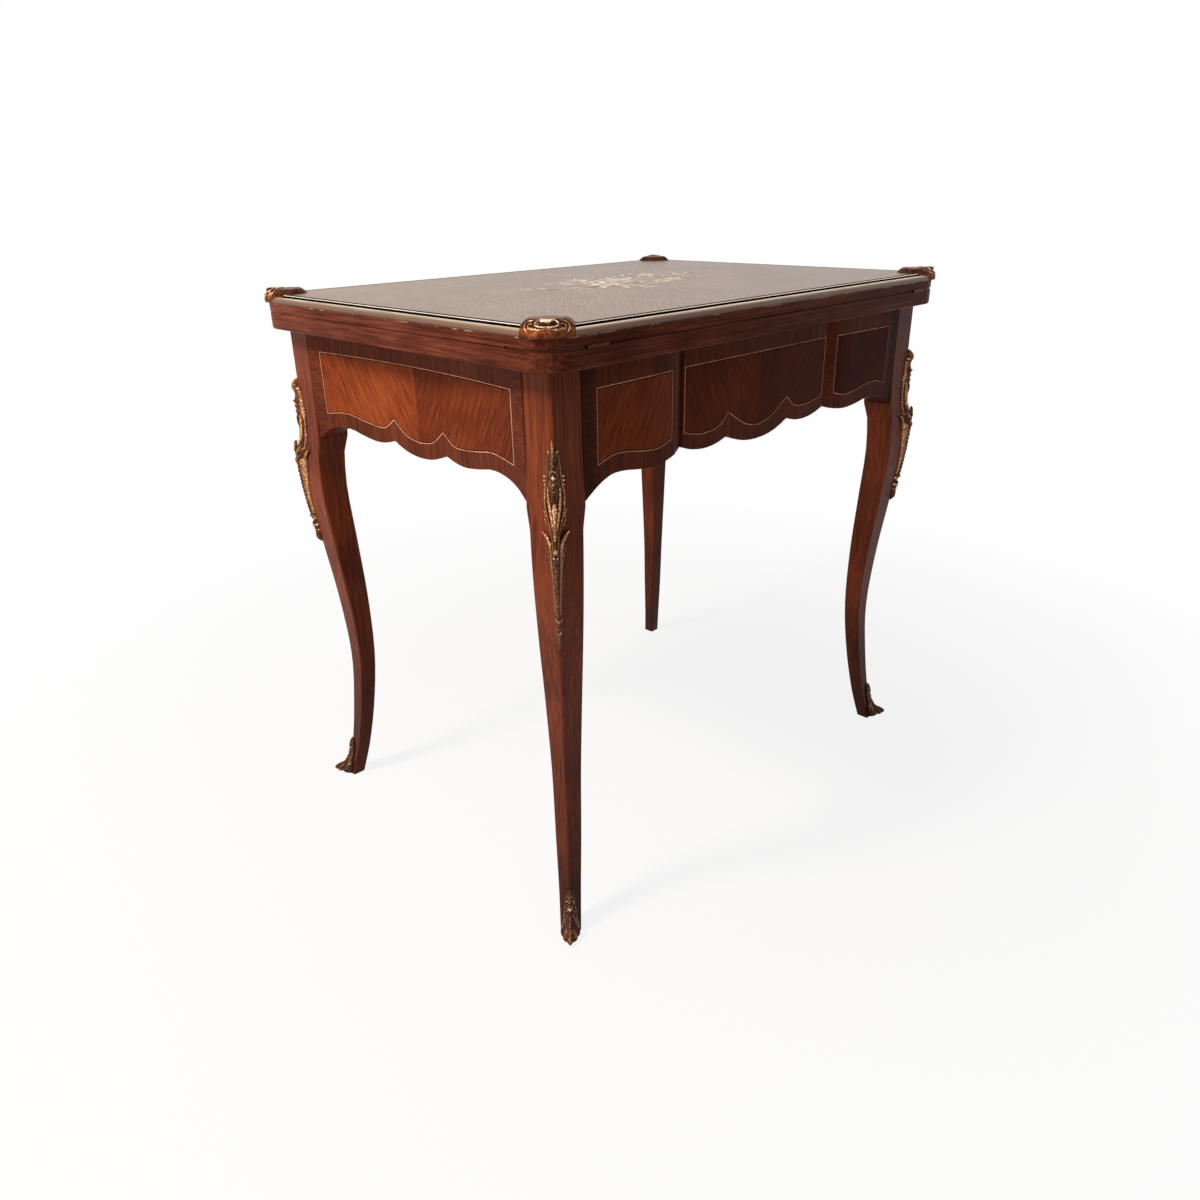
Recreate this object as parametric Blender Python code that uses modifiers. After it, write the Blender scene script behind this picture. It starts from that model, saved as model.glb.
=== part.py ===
"""Fold-over games table with a swivelling double top, cabriole legs and bronze mounts.

Metres, +Z up. The origin is on the floor under the centre of the closed top. The long front edge,
which carries the hinges, faces -Y, and the short left edge faces -X.
"""
import math

import bmesh
import bpy
from mathutils import Matrix, Vector

# The whole table
TOP_LENGTH = 0.795
TOP_DEPTH = 0.578
TABLE_HEIGHT = 0.765
CLEARANCE = 0.0003
OVERRUN = 0.004
MERGE_DISTANCE = 0.00001

# The two leaves
LEAF_THICKNESS = 0.0212
LEAF_CORNER_RADIUS = 0.038
LEAF_EDGE_ROUND = 0.0012
HINGE_OFFSET = 0.0003
SWIVEL_CLEARANCE = 0.0008

# The rounded rim round the upper leaf
RIM_WIDTH = 0.012
RIM_HEIGHT = 0.0100
RIM_SINK = 0.0024
RIM_LIP = 0.0016
RIM_GROOVE = 0.0022
RIM_CREST_SHARE = 0.6

# The baize, let into both leaves
BAIZE_MARGIN = 0.062
BAIZE_THICKNESS = 0.0008
BAIZE_RECESS = 0.0012
BAIZE_CORNER_RADIUS = 0.022

# The legs
STILE_INSET = 0.025
STILE_SIDE = 0.044
LEG_ARRIS_ROUND = 0.0018
LEG_HEIGHT_SHARES = (0.0, 0.07, 0.18, 0.305, 0.444, 0.582, 0.693, 0.79, 0.86, 1.0)
LEG_INSET_SHARES = (0.64, 1.02, 1.37, 1.59, 1.40, 1.02, 0.77, 0.87, 0.98, 1.0)
LEG_SIDE_SHARES = (0.47, 0.495, 0.566, 0.623, 0.745, 0.88, 0.955, 0.985, 1.0, 1.0)
LEG_RINGS = 30

# The aprons
APRON_DROP = 0.139
APRON_THICKNESS = 0.020
APRON_HOLLOW = 0.0165
BREAK_HALF_WIDTH = 0.153
BREAK_STEP = 0.0035
BREAK_SWEEP = 0.023
CENTRE_HOLLOW_SHARE = 0.68
SIDE_HOLLOW_SHARE = 0.22
LOBE_POWER = 2.2
TENON_HEIGHT = 0.060
TENON_THICKNESS = 0.009
TENON_LENGTH = 0.015

# The frame's inner pieces
BLOCK_LEG = 0.046
BLOCK_HEIGHT = 0.078
BOARD_THICKNESS = 0.008
WELL_DEPTH = 0.0997
CLEAT_SIDE = 0.009
RAIL_WIDTH_SHARE = 0.2076
RAIL_THICKNESS = 0.022
RAIL_HOUSING = 0.006

# The pivot and its stop
BOLT_RADIUS = 0.006
FLANGE_RADIUS = 0.025
FLANGE_THICKNESS = 0.003
WASHER_RADIUS = 0.015
WASHER_THICKNESS = 0.002
NUT_WIDTH = 0.019
NUT_HEIGHT = 0.010
BOLT_TAIL = 0.004
STOP_LENGTH = 0.026
STOP_DROP = 0.016
STOP_REACH = 0.170

# The hinges
PLATE_LENGTH = 0.088
PLATE_ARM = 0.024
PLATE_THICKNESS = 0.0012
KNUCKLE_RADIUS = 0.0018
KNUCKLE_LENGTH = 0.010
HINGE_PIN_RADIUS = 0.0008

# The mounts on the top's corners: along an edge, and along the diagonal from the square corner
CORNER_MOUNT_REACH = 0.038
CORNER_MOUNT_RADIUS = 0.023
CORNER_MOUNT_LENGTH = 0.0665
CORNER_MOUNT_LEAN = 0.014
CORNER_MOUNT_RISE = 0.0065
CORNER_MOUNT_SEAT = 0.0008
CABOCHON_INSET = 0.013
CABOCHON_LENGTH = 0.0105
CABOCHON_WIDTH = 0.0055
CABOCHON_RISE = 0.0034
CABOCHON_HEIGHT_SHARE = 0.6
CABOCHON_TILT = 30

# The mounts on the knees: a place up the mount, the reach over each face and the relief
KNEE_MOUNT_DROP = 0.0702
KNEE_MOUNT_LENGTH = 0.242
KNEE_MOUNT_WIDTH = 0.0150
KNEE_MOUNT_RELIEF = 0.0080
KNEE_PLACE_SHARES = (0.0, 0.03, 0.07, 0.11, 0.15, 0.19, 0.24, 0.34, 0.44, 0.50, 0.54, 0.57, 0.60, 0.63,
                     0.68, 0.74, 0.80, 0.85, 0.90, 0.95, 0.98, 1.0)
KNEE_WIDTH_SHARES = (0.10, 0.22, 0.30, 0.34, 0.30, 0.20, 0.18, 0.24, 0.36, 0.46, 0.80, 1.0, 0.62, 0.46,
                     0.72, 0.80, 0.84, 0.70, 0.42, 0.36, 0.26, 0.12)
KNEE_RELIEF_SHARES = (0.22, 0.45, 0.62, 0.58, 0.60, 0.38, 0.30, 0.34, 0.42, 0.55, 0.80, 0.85, 0.70, 0.60,
                      0.85, 0.95, 1.0, 0.90, 0.70, 0.85, 0.70, 0.25)

# The mounts on the feet: a place up the mount, the reach over each face and the relief
SABOT_HEIGHT = 0.063
SABOT_LIFT = 0.0012
SABOT_WIDTH = 0.0138
SABOT_TOE = 0.0170
SABOT_PLACE_SHARES = (0.0, 0.05, 0.11, 0.17, 0.22, 0.27, 0.33, 0.42, 0.54, 0.68, 0.80, 0.91, 1.0)
SABOT_WIDTH_SHARES = (1.0, 1.0, 1.0, 1.0, 0.98, 0.92, 0.76, 0.58, 0.52, 0.56, 0.44, 0.26, 0.10)
SABOT_RELIEF_SHARES = (0.60, 0.86, 0.99, 0.95, 0.78, 0.52, 0.34, 0.25, 0.21, 0.20, 0.18, 0.14, 0.08)
MOUNT_WALL = 0.0022
MOUNT_SEAT = 0.004
NOSE_WIDTH_SHARE = 0.42
NOSE_RELIEF_SHARE = 0.7

# Places worked out from the sizes
HALF_LENGTH = TOP_LENGTH / 2
HALF_DEPTH = TOP_DEPTH / 2
UPPER_LEAF_BASE = TABLE_HEIGHT - LEAF_THICKNESS
HINGE_HEIGHT = UPPER_LEAF_BASE - HINGE_OFFSET
LOWER_LEAF_TOP = HINGE_HEIGHT - HINGE_OFFSET
LOWER_LEAF_BASE = LOWER_LEAF_TOP - LEAF_THICKNESS
FRAME_TOP = LOWER_LEAF_BASE - SWIVEL_CLEARANCE
BOARD_TOP = FRAME_TOP - WELL_DEPTH
RIM_BASE = TABLE_HEIGHT - RIM_HEIGHT
HINGE_Y = -HALF_DEPTH - HINGE_OFFSET
PIVOT_X = -TOP_DEPTH / 4
PIVOT_Y = -TOP_DEPTH / 4
RAIL_WIDTH = TOP_DEPTH * RAIL_WIDTH_SHARE
STILE_INNER = STILE_INSET + STILE_SIDE
APRON_END = STILE_INNER + CLEARANCE
APRON_INNER = STILE_INSET + APRON_HOLLOW + APRON_THICKNESS

CORNERS = (("front_left", -1, -1), ("front_right", 1, -1), ("back_left", -1, 1), ("back_right", 1, 1))

# Finishes: colour, roughness and metal
WALNUT = ((0.10, 0.030, 0.016), 0.35, 0.0)
ROSEWOOD = ((0.16, 0.050, 0.018), 0.32, 0.0)
DARK_ROSEWOOD = ((0.075, 0.024, 0.014), 0.35, 0.0)
BEECH = ((0.42, 0.26, 0.13), 0.60, 0.0)
GILT_BRONZE = ((0.42, 0.25, 0.10), 0.34, 1.0)
BRASS = ((0.45, 0.31, 0.12), 0.38, 1.0)
STEEL = ((0.24, 0.23, 0.22), 0.45, 1.0)
GREEN_BAIZE = ((0.030, 0.10, 0.045), 0.95, 0.0)


# Collections, materials and objects
def start():
    """Removes what the file holds and makes the two collections."""
    for thing in list(bpy.data.objects):
        bpy.data.objects.remove(thing, do_unlink=True)
    for name in ("games_table", "cutters"):
        bpy.context.scene.collection.children.link(bpy.data.collections.new(name))


def new_material(name, colour, roughness, metallic=0.0):
    material = bpy.data.materials.new(name)
    material.use_nodes = True
    shader = material.node_tree.nodes["Principled BSDF"]
    shader.inputs["Base Color"].default_value = (*colour, 1.0)
    shader.inputs["Roughness"].default_value = roughness
    shader.inputs["Metallic"].default_value = metallic
    return material


def add_object(name, bm, finish=None):
    """Links a mesh as a piece with its own material, or as a cutter where no finish is given."""
    bmesh.ops.remove_doubles(bm, verts=bm.verts, dist=MERGE_DISTANCE)
    bmesh.ops.recalc_face_normals(bm, faces=bm.faces)
    mesh = bpy.data.meshes.new(name)
    bm.to_mesh(mesh)
    bm.free()
    item = bpy.data.objects.new(name, mesh)
    if finish is None:
        bpy.data.collections["cutters"].objects.link(item)
        item.hide_render = True
        item.display_type = "WIRE"
    else:
        bpy.data.collections["games_table"].objects.link(item)
        colour, roughness, metallic = finish
        mesh.materials.append(new_material(name, colour, roughness, metallic))
    return item


def boolean(item, tool, operation="DIFFERENCE"):
    """Joins, cuts or crosses a piece with a cutter."""
    modifier = item.modifiers.new(tool.name, "BOOLEAN")
    modifier.object = tool
    modifier.operation = operation
    modifier.solver = "EXACT"


def shade_round(item, degrees=35):
    """Shades the round faces smooth and keeps the edges crisp."""
    item.data.shade_smooth()
    item.data.set_sharp_from_angle(angle=math.radians(degrees))


# Shapes that the pieces share
def box_mesh(low, high):
    bm = bmesh.new()
    size = Vector(high) - Vector(low)
    middle = (Vector(high) + Vector(low)) / 2
    bmesh.ops.create_cube(bm, size=1.0, matrix=Matrix.Translation(middle) @ Matrix.Diagonal((*size, 1.0)))
    return bm


def cylinder_mesh(radius, centre, length, axis="Z", segments=32):
    turn = {"Z": Matrix(), "X": Matrix.Rotation(math.pi / 2, 4, "Y")}[axis]
    bm = bmesh.new()
    bmesh.ops.create_cone(bm, cap_ends=True, segments=segments, radius1=radius, radius2=radius,
                          depth=length, matrix=Matrix.Translation(centre) @ turn)
    return bm


def prism_mesh(outline, low, high):
    """Raises a flat outline of X, Y points from one height to another."""
    bm = bmesh.new()
    face = bm.faces.new([bm.verts.new((x, y, low)) for x, y in outline])
    raised = bmesh.ops.extrude_face_region(bm, geom=[face])
    lifted = [part for part in raised["geom"] if isinstance(part, bmesh.types.BMVert)]
    bmesh.ops.translate(bm, verts=lifted, vec=(0, 0, high - low))
    return bm


def loft_mesh(rings):
    """Skins rings of equal point counts and closes both ends."""
    bm = bmesh.new()
    loops = [[bm.verts.new(point) for point in ring] for ring in rings]
    count = len(loops[0])
    for lower, upper in zip(loops, loops[1:]):
        for i in range(count):
            j = (i + 1) % count
            bm.faces.new((lower[i], lower[j], upper[j], upper[i]))
    bm.faces.new(reversed(loops[0]))
    bm.faces.new(loops[-1])
    return bm


def arc(centre, radius, start_degrees, end_degrees, steps):
    """Points along an arc, both ends included."""
    degrees = [start_degrees + (end_degrees - start_degrees) * i / steps for i in range(steps + 1)]
    turns = [math.radians(value) for value in degrees]
    return [(centre[0] + radius * math.cos(a), centre[1] + radius * math.sin(a)) for a in turns]


def rounded_rectangle(half_x, half_y, radius, steps=7, shift=(0, 0)):
    corners = ((1, 1, 0), (-1, 1, 90), (-1, -1, 180), (1, -1, 270))
    points = []
    for sx, sy, degrees in corners:
        centre = (shift[0] + sx * (half_x - radius), shift[1] + sy * (half_y - radius))
        points += arc(centre, radius, degrees, degrees + 90, steps)
    return points


def smooth_value(places, values, place):
    """Reads a smooth curve through values at rising places."""
    for i in range(len(places) - 1):
        if place <= places[i + 1] or i == len(places) - 2:
            break
    before, after = max(i - 1, 0), min(i + 2, len(places) - 1)
    slope_a = (values[i + 1] - values[before]) / (places[i + 1] - places[before])
    slope_b = (values[after] - values[i]) / (places[after] - places[i])
    span = places[i + 1] - places[i]
    t = min(max((place - places[i]) / span, 0), 1)
    return (values[i] * (2 * t ** 3 - 3 * t ** 2 + 1) + values[i + 1] * (3 * t ** 2 - 2 * t ** 3)
            + span * slope_a * (t ** 3 - 2 * t ** 2 + t) + span * slope_b * (t ** 3 - t ** 2))


def corner_point(sx, sy, inset_x, inset_y, height):
    """A point given by its insets from the top's two edges at a corner."""
    return (sx * (HALF_LENGTH - inset_x), sy * (HALF_DEPTH - inset_y), height)


def placed(bm, matrix):
    bmesh.ops.transform(bm, matrix=matrix, verts=bm.verts)
    return bm


# The leaves
def baize_outline(gap):
    return rounded_rectangle(HALF_LENGTH - BAIZE_MARGIN - gap, HALF_DEPTH - BAIZE_MARGIN - gap,
                             BAIZE_CORNER_RADIUS - gap, 5)


def edge_rounded(item, width):
    """Eases the sharp edges of a board."""
    bevel = item.modifiers.new("eased edge", "BEVEL")
    bevel.width = width
    bevel.segments = 1
    bevel.limit_method = "ANGLE"
    bevel.angle_limit = math.radians(60)
    bevel.use_clamp_overlap = True


def make_leaves():
    outline = rounded_rectangle(HALF_LENGTH, HALF_DEPTH, LEAF_CORNER_RADIUS)
    lower = add_object("lower_leaf", prism_mesh(outline, LOWER_LEAF_BASE, LOWER_LEAF_TOP), WALNUT)
    edge_rounded(lower, LEAF_EDGE_ROUND)

    # The upper leaf steps in above its edge to carry the rim and the corner mounts
    inner = rounded_rectangle(HALF_LENGTH - RIM_WIDTH, HALF_DEPTH - RIM_WIDTH,
                              LEAF_CORNER_RADIUS - RIM_WIDTH)
    heights = ((outline, UPPER_LEAF_BASE), (outline, RIM_BASE), (inner, RIM_BASE), (inner, TABLE_HEIGHT))
    rings = [[(x, y, z) for x, y in ring] for ring, z in heights]
    upper = add_object("upper_leaf", loft_mesh(rings), WALNUT)

    recess = baize_outline(0)
    low, high = LOWER_LEAF_TOP - BAIZE_RECESS, UPPER_LEAF_BASE + BAIZE_RECESS
    boolean(lower, add_object("lower_recess", prism_mesh(recess, low, low + OVERRUN)))
    boolean(upper, add_object("upper_recess", prism_mesh(recess, high - OVERRUN, high)))
    cloth = baize_outline(CLEARANCE)
    seat = low + CLEARANCE
    add_object("baize_lower", prism_mesh(cloth, seat, seat + BAIZE_THICKNESS), GREEN_BAIZE)
    seat = high - CLEARANCE
    add_object("baize_upper", prism_mesh(cloth, seat - BAIZE_THICKNESS, seat), GREEN_BAIZE)

    # The flange of the pivot bolt is let in under the lower leaf
    centre = (PIVOT_X, PIVOT_Y, LOWER_LEAF_BASE + (FLANGE_THICKNESS + CLEARANCE - OVERRUN) / 2)
    depth = FLANGE_THICKNESS + CLEARANCE + OVERRUN
    hole = cylinder_mesh(FLANGE_RADIUS + CLEARANCE, centre, depth)
    boolean(lower, add_object("flange_recess", hole))
    return lower, upper


# The rim: a brass half round with a groove inside it, in four lengths between the corner mounts
def rim_profile():
    """The section of the rim, from its outer foot over the round and the groove to its inner foot."""
    foot = RIM_BASE + CLEARANCE
    crest = TABLE_HEIGHT - RIM_SINK
    inner = RIM_WIDTH - CLEARANCE
    outer_run = (inner - RIM_GROOVE) * RIM_CREST_SHARE
    inner_run = inner - RIM_GROOVE - outer_run
    points = [(0, foot)]
    rise = crest - foot - RIM_LIP
    for i in range(8):
        turn = math.pi / 2 * i / 7
        points.append((outer_run * (1 - math.cos(turn)), foot + RIM_LIP + rise * math.sin(turn)))
    for i in range(1, 5):
        turn = math.pi / 2 * i / 4
        points.append((outer_run + inner_run * math.sin(turn), crest - RIM_LIP * (1 - math.cos(turn))))
    return points + [(inner, crest - RIM_LIP), (inner, foot)]


def make_rims():
    lengths = {"front": (HALF_LENGTH, HALF_DEPTH, 0), "right": (HALF_DEPTH, HALF_LENGTH, 90),
               "back": (HALF_LENGTH, HALF_DEPTH, 180), "left": (HALF_DEPTH, HALF_LENGTH, 270)}
    for side, (half_run, half_across, degrees) in lengths.items():
        # Each end is cut on the slant of the corner mount's side
        reach = half_run - CORNER_MOUNT_REACH - 2 * CLEARANCE
        rings = []
        for end in (-1, 1):
            rings.append([(end * (reach - inset), inset - half_across, z) for inset, z in rim_profile()])
        turn = Matrix.Rotation(math.radians(degrees), 4, "Z")
        shade_round(add_object("rim_" + side, placed(loft_mesh(rings), turn), BRASS))


# The legs: a square section led along an S curve, with a straight stile above
LEG_HEIGHTS = [share * FRAME_TOP for share in LEG_HEIGHT_SHARES]
LEG_INSETS = [share * STILE_INSET for share in LEG_INSET_SHARES]
LEG_WIDTHS = [share * STILE_SIDE for share in LEG_SIDE_SHARES]
STRAIGHT_FROM = LEG_HEIGHTS[-3]


def leg_section(height):
    """The inset of the outer arris and the side of the square at a height."""
    inset = smooth_value(LEG_HEIGHTS, LEG_INSETS, height)
    side = smooth_value(LEG_HEIGHTS, LEG_WIDTHS, height)
    if height > STRAIGHT_FROM:
        side = STILE_INNER - inset
    return inset, side


def leg_ring(sx, sy, height, grow=0.0):
    inset, side = leg_section(height)
    low, high, ease = inset - grow, inset + side + grow, LEG_ARRIS_ROUND
    pairs = ((low + ease, low), (high - ease, low), (high, low + ease), (high, high - ease),
             (high - ease, high), (low + ease, high), (low, high - ease), (low, low + ease))
    return [corner_point(sx, sy, a, b, height) for a, b in pairs]


def leg_mesh(sx, sy, low, high, rings, grow=0.0):
    heights = [low + (high - low) * i / (rings - 1) for i in range(rings)]
    return loft_mesh([leg_ring(sx, sy, height, grow) for height in heights])


def tenon_box(sx, sy, along_x, gap):
    """The corners of a tenon at one leg, or of its mortise with a gap."""
    depth = STILE_INSET + APRON_HOLLOW / 2 + TENON_THICKNESS
    across = (depth - gap, depth + TENON_THICKNESS + gap)
    along = (APRON_END - TENON_LENGTH - gap, APRON_END + OVERRUN)
    base = FRAME_TOP - APRON_DROP / 2 - TENON_HEIGHT / 2
    insets = (along, across) if along_x else (across, along)
    ends = [corner_point(sx, sy, insets[0][i], insets[1][i], 0) for i in (0, 1)]
    low = (min(ends[0][0], ends[1][0]), min(ends[0][1], ends[1][1]), base - gap)
    high = (max(ends[0][0], ends[1][0]), max(ends[0][1], ends[1][1]), base + TENON_HEIGHT + gap)
    return low, high


def make_legs():
    for place, sx, sy in CORNERS:
        leg = add_object("leg_" + place, leg_mesh(sx, sy, 0, FRAME_TOP, LEG_RINGS), ROSEWOOD)
        shade_round(leg, 50)
        for along_x in (True, False):
            low, high = tenon_box(sx, sy, along_x, CLEARANCE)
            name = "mortise_" + place + ("_long" if along_x else "_short")
            boolean(leg, add_object(name, box_mesh(low, high)))


# The aprons: a scalloped elevation crossed with a hollow plan
CENTRE_LOBE_SHARES = ((0.0, 1.0), (0.30, 0.975), (0.62, 0.905))
LONG_EDGE_SHARES = ((0.201, 0.892), (0.262, 0.931), (0.335, 0.943), (0.410, 0.920), (0.472, 0.874),
                    (0.520, 0.915), (0.618, 0.949), (0.715, 0.934), (0.800, 0.902), (0.867, 0.901),
                    (0.932, 0.956), (1.0, 1.052))
LONG_CUSPS = (0, 4)
SHORT_EDGE_SHARES = ((0.247, 0.908), (0.335, 0.944), (0.430, 0.956), (0.560, 0.930), (0.680, 0.894),
                     (0.800, 0.901), (0.915, 0.956), (1.0, 1.052))
EDGE_STEPS = 4


def curve_through(points, steps):
    """A smooth run through the points, with the last point left out."""
    places = [x for x, drop in points]
    drops = [drop for x, drop in points]
    run = []
    for a, b in zip(places, places[1:]):
        for i in range(steps):
            x = a + (b - a) * i / steps
            run.append((x, smooth_value(places, drops, x)))
    return run


def half_edge(shares, cusps):
    """The lower edge from the centre to the leg: the centre lobe, then runs between cusps."""
    first = shares[0]
    lobe = [(0.0, 1.0)]
    for i in range(1, EDGE_STEPS + 1):
        t = i / (EDGE_STEPS + 1)
        lobe.append((first[0] * t, 1.0 - (1.0 - first[1]) * t ** LOBE_POWER))
    starts = list(cusps) + [len(shares) - 1]
    run = lobe
    for a, b in zip(starts, starts[1:]):
        run = run + curve_through(shares[a:b + 1], EDGE_STEPS)
    return run + [shares[-1]]


def elevation_mesh(half_run, shares, cusps, thickness):
    """The front view of an apron as a filled curve, raised to a slab and stood up."""
    edge = []
    for share_x, share_z in half_edge(shares, cusps):
        edge.append((share_x * half_run, FRAME_TOP - share_z * APRON_DROP))
    left = [(-x, z) for x, z in reversed(edge[1:])]
    outline = left + edge + [(half_run, FRAME_TOP), (-half_run, FRAME_TOP)]
    curve = bpy.data.curves.new("outline", "CURVE")
    curve.dimensions = "2D"
    curve.fill_mode = "BOTH"
    curve.extrude = thickness / 2
    spline = curve.splines.new("POLY")
    spline.points.add(len(outline) - 1)
    for point, (x, z) in zip(spline.points, outline):
        point.co = (x, z, 0, 1)
    spline.use_cyclic_u = True
    drawing = bpy.data.objects.new("outline", curve)
    bpy.context.scene.collection.objects.link(drawing)
    graph = bpy.context.evaluated_depsgraph_get()
    mesh = bpy.data.meshes.new_from_object(drawing.evaluated_get(graph))
    bm = bmesh.new()
    bm.from_mesh(mesh)
    bmesh.ops.remove_doubles(bm, verts=bm.verts, dist=MERGE_DISTANCE)
    bpy.data.objects.remove(drawing, do_unlink=True)
    bpy.data.meshes.remove(mesh)
    return placed(bm, Matrix.Rotation(math.pi / 2, 4, "X"))


def hollow_plan(half_run, half_across, steps):
    """The hollow outer line of a short apron, from one leg to the other."""
    line = []
    for i in range(steps + 1):
        x = half_run * (2 * i / steps - 1)
        inset = STILE_INSET + CLEARANCE + APRON_HOLLOW * (1 - (x / half_run) ** 2)
        line.append((x, inset - half_across))
    return line


def broken_plan(half_run, half_across, steps):
    """The outer line of a long apron: swept sides and a stepped centre."""
    centre = STILE_INSET + APRON_HOLLOW * CENTRE_HOLLOW_SHARE
    side = STILE_INSET + APRON_HOLLOW * SIDE_HOLLOW_SHARE
    sweep_end = BREAK_HALF_WIDTH + BREAK_SWEEP
    side_mid = (sweep_end + half_run) / 2
    places = [BREAK_HALF_WIDTH, sweep_end, side_mid, half_run]
    insets = [centre + BREAK_STEP, centre - BREAK_STEP, side, STILE_INSET + CLEARANCE]
    line = [(BREAK_HALF_WIDTH - CLEARANCE, centre)]
    for i in range(steps + 1):
        x = BREAK_HALF_WIDTH + (half_run - BREAK_HALF_WIDTH) * i / steps
        line.append((x, smooth_value(places, insets, x)))
    mirrored = [(-x, inset) for x, inset in reversed(line)]
    return [(x, inset - half_across) for x, inset in mirrored + line]


def make_aprons():
    span_x = HALF_LENGTH - APRON_END
    span_y = HALF_DEPTH - APRON_END
    kinds = {
        "front": (span_x, HALF_DEPTH, 0, LONG_EDGE_SHARES, LONG_CUSPS, broken_plan, 10),
        "right": (span_y, HALF_LENGTH, 90, SHORT_EDGE_SHARES, (0,), hollow_plan, 16),
        "back": (span_x, HALF_DEPTH, 180, LONG_EDGE_SHARES, LONG_CUSPS, broken_plan, 10),
        "left": (span_y, HALF_LENGTH, 270, SHORT_EDGE_SHARES, (0,), hollow_plan, 16),
    }
    for side, (half_run, half_across, degrees, shares, cusps, plan, steps) in kinds.items():
        turn = Matrix.Rotation(math.radians(degrees), 4, "Z")
        slab = elevation_mesh(half_run, shares, cusps, 2 * APRON_INNER)
        placed(slab, Matrix.Translation((0, APRON_INNER / 2 - half_across, 0)))
        apron = add_object("apron_" + side, placed(slab, turn), DARK_ROSEWOOD)
        outer = plan(half_run, half_across, steps)
        outer = [(-half_run - OVERRUN, outer[0][1])] + outer + [(half_run + OVERRUN, outer[-1][1])]
        inner_y = APRON_INNER - half_across
        footprint = outer + [(half_run + OVERRUN, inner_y), (-half_run - OVERRUN, inner_y)]
        low, high = FRAME_TOP - 2 * APRON_DROP, FRAME_TOP + OVERRUN
        tool = add_object("plan_" + side, placed(prism_mesh(footprint, low, high), turn))
        boolean(apron, tool, "INTERSECT")
    for place, sx, sy in CORNERS:
        front = "front" if sy < 0 else "back"
        side = "left" if sx < 0 else "right"
        for along_x, name in ((True, front), (False, side)):
            low, high = tenon_box(sx, sy, along_x, 0)
            tenon = add_object("tenon_" + place + "_" + name, box_mesh(low, high))
            boolean(bpy.data.objects["apron_" + name], tenon, "UNION")


# The frame's inner pieces
def make_corner_blocks():
    """Glued blocks in the frame's corners, notched round the legs and clipped across."""
    seat = APRON_INNER + CLEARANCE
    leg = STILE_INNER + CLEARANCE
    far = seat + BLOCK_LEG
    clip = seat + BLOCK_LEG / 4
    outline = ((leg, seat), (far, seat), (far, clip), (clip, far), (seat, far), (seat, leg), (leg, leg))
    low = BOARD_TOP + CLEARANCE
    for place, sx, sy in CORNERS:
        points = [corner_point(sx, sy, a, b, 0)[:2] for a, b in outline]
        add_object("corner_block_" + place, prism_mesh(points, low, low + BLOCK_HEIGHT), BEECH)


def make_well():
    """The bottom of the card well, notched round the legs, on two cleats."""
    wall = APRON_INNER + CLEARANCE
    leg = STILE_INNER + CLEARANCE
    outline = []
    for sx, sy in ((1, 1), (-1, 1), (-1, -1), (1, -1)):
        notch = [corner_point(sx, sy, a, b, 0)[:2] for a, b in ((wall, leg), (leg, leg), (leg, wall))]
        outline += notch if sx * sy > 0 else reversed(notch)
    base = BOARD_TOP - BOARD_THICKNESS
    add_object("well_board", prism_mesh(outline, base, BOARD_TOP), BEECH)
    for name, sy in (("front", -1), ("back", 1)):
        near = sy * (HALF_DEPTH - wall)
        far = sy * (HALF_DEPTH - wall - CLEAT_SIDE)
        half = HALF_LENGTH - leg
        low = (-half, min(near, far), base - CLEARANCE - CLEAT_SIDE)
        high = (half, max(near, far), base - CLEARANCE)
        add_object("cleat_" + name, box_mesh(low, high), BEECH)


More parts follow.
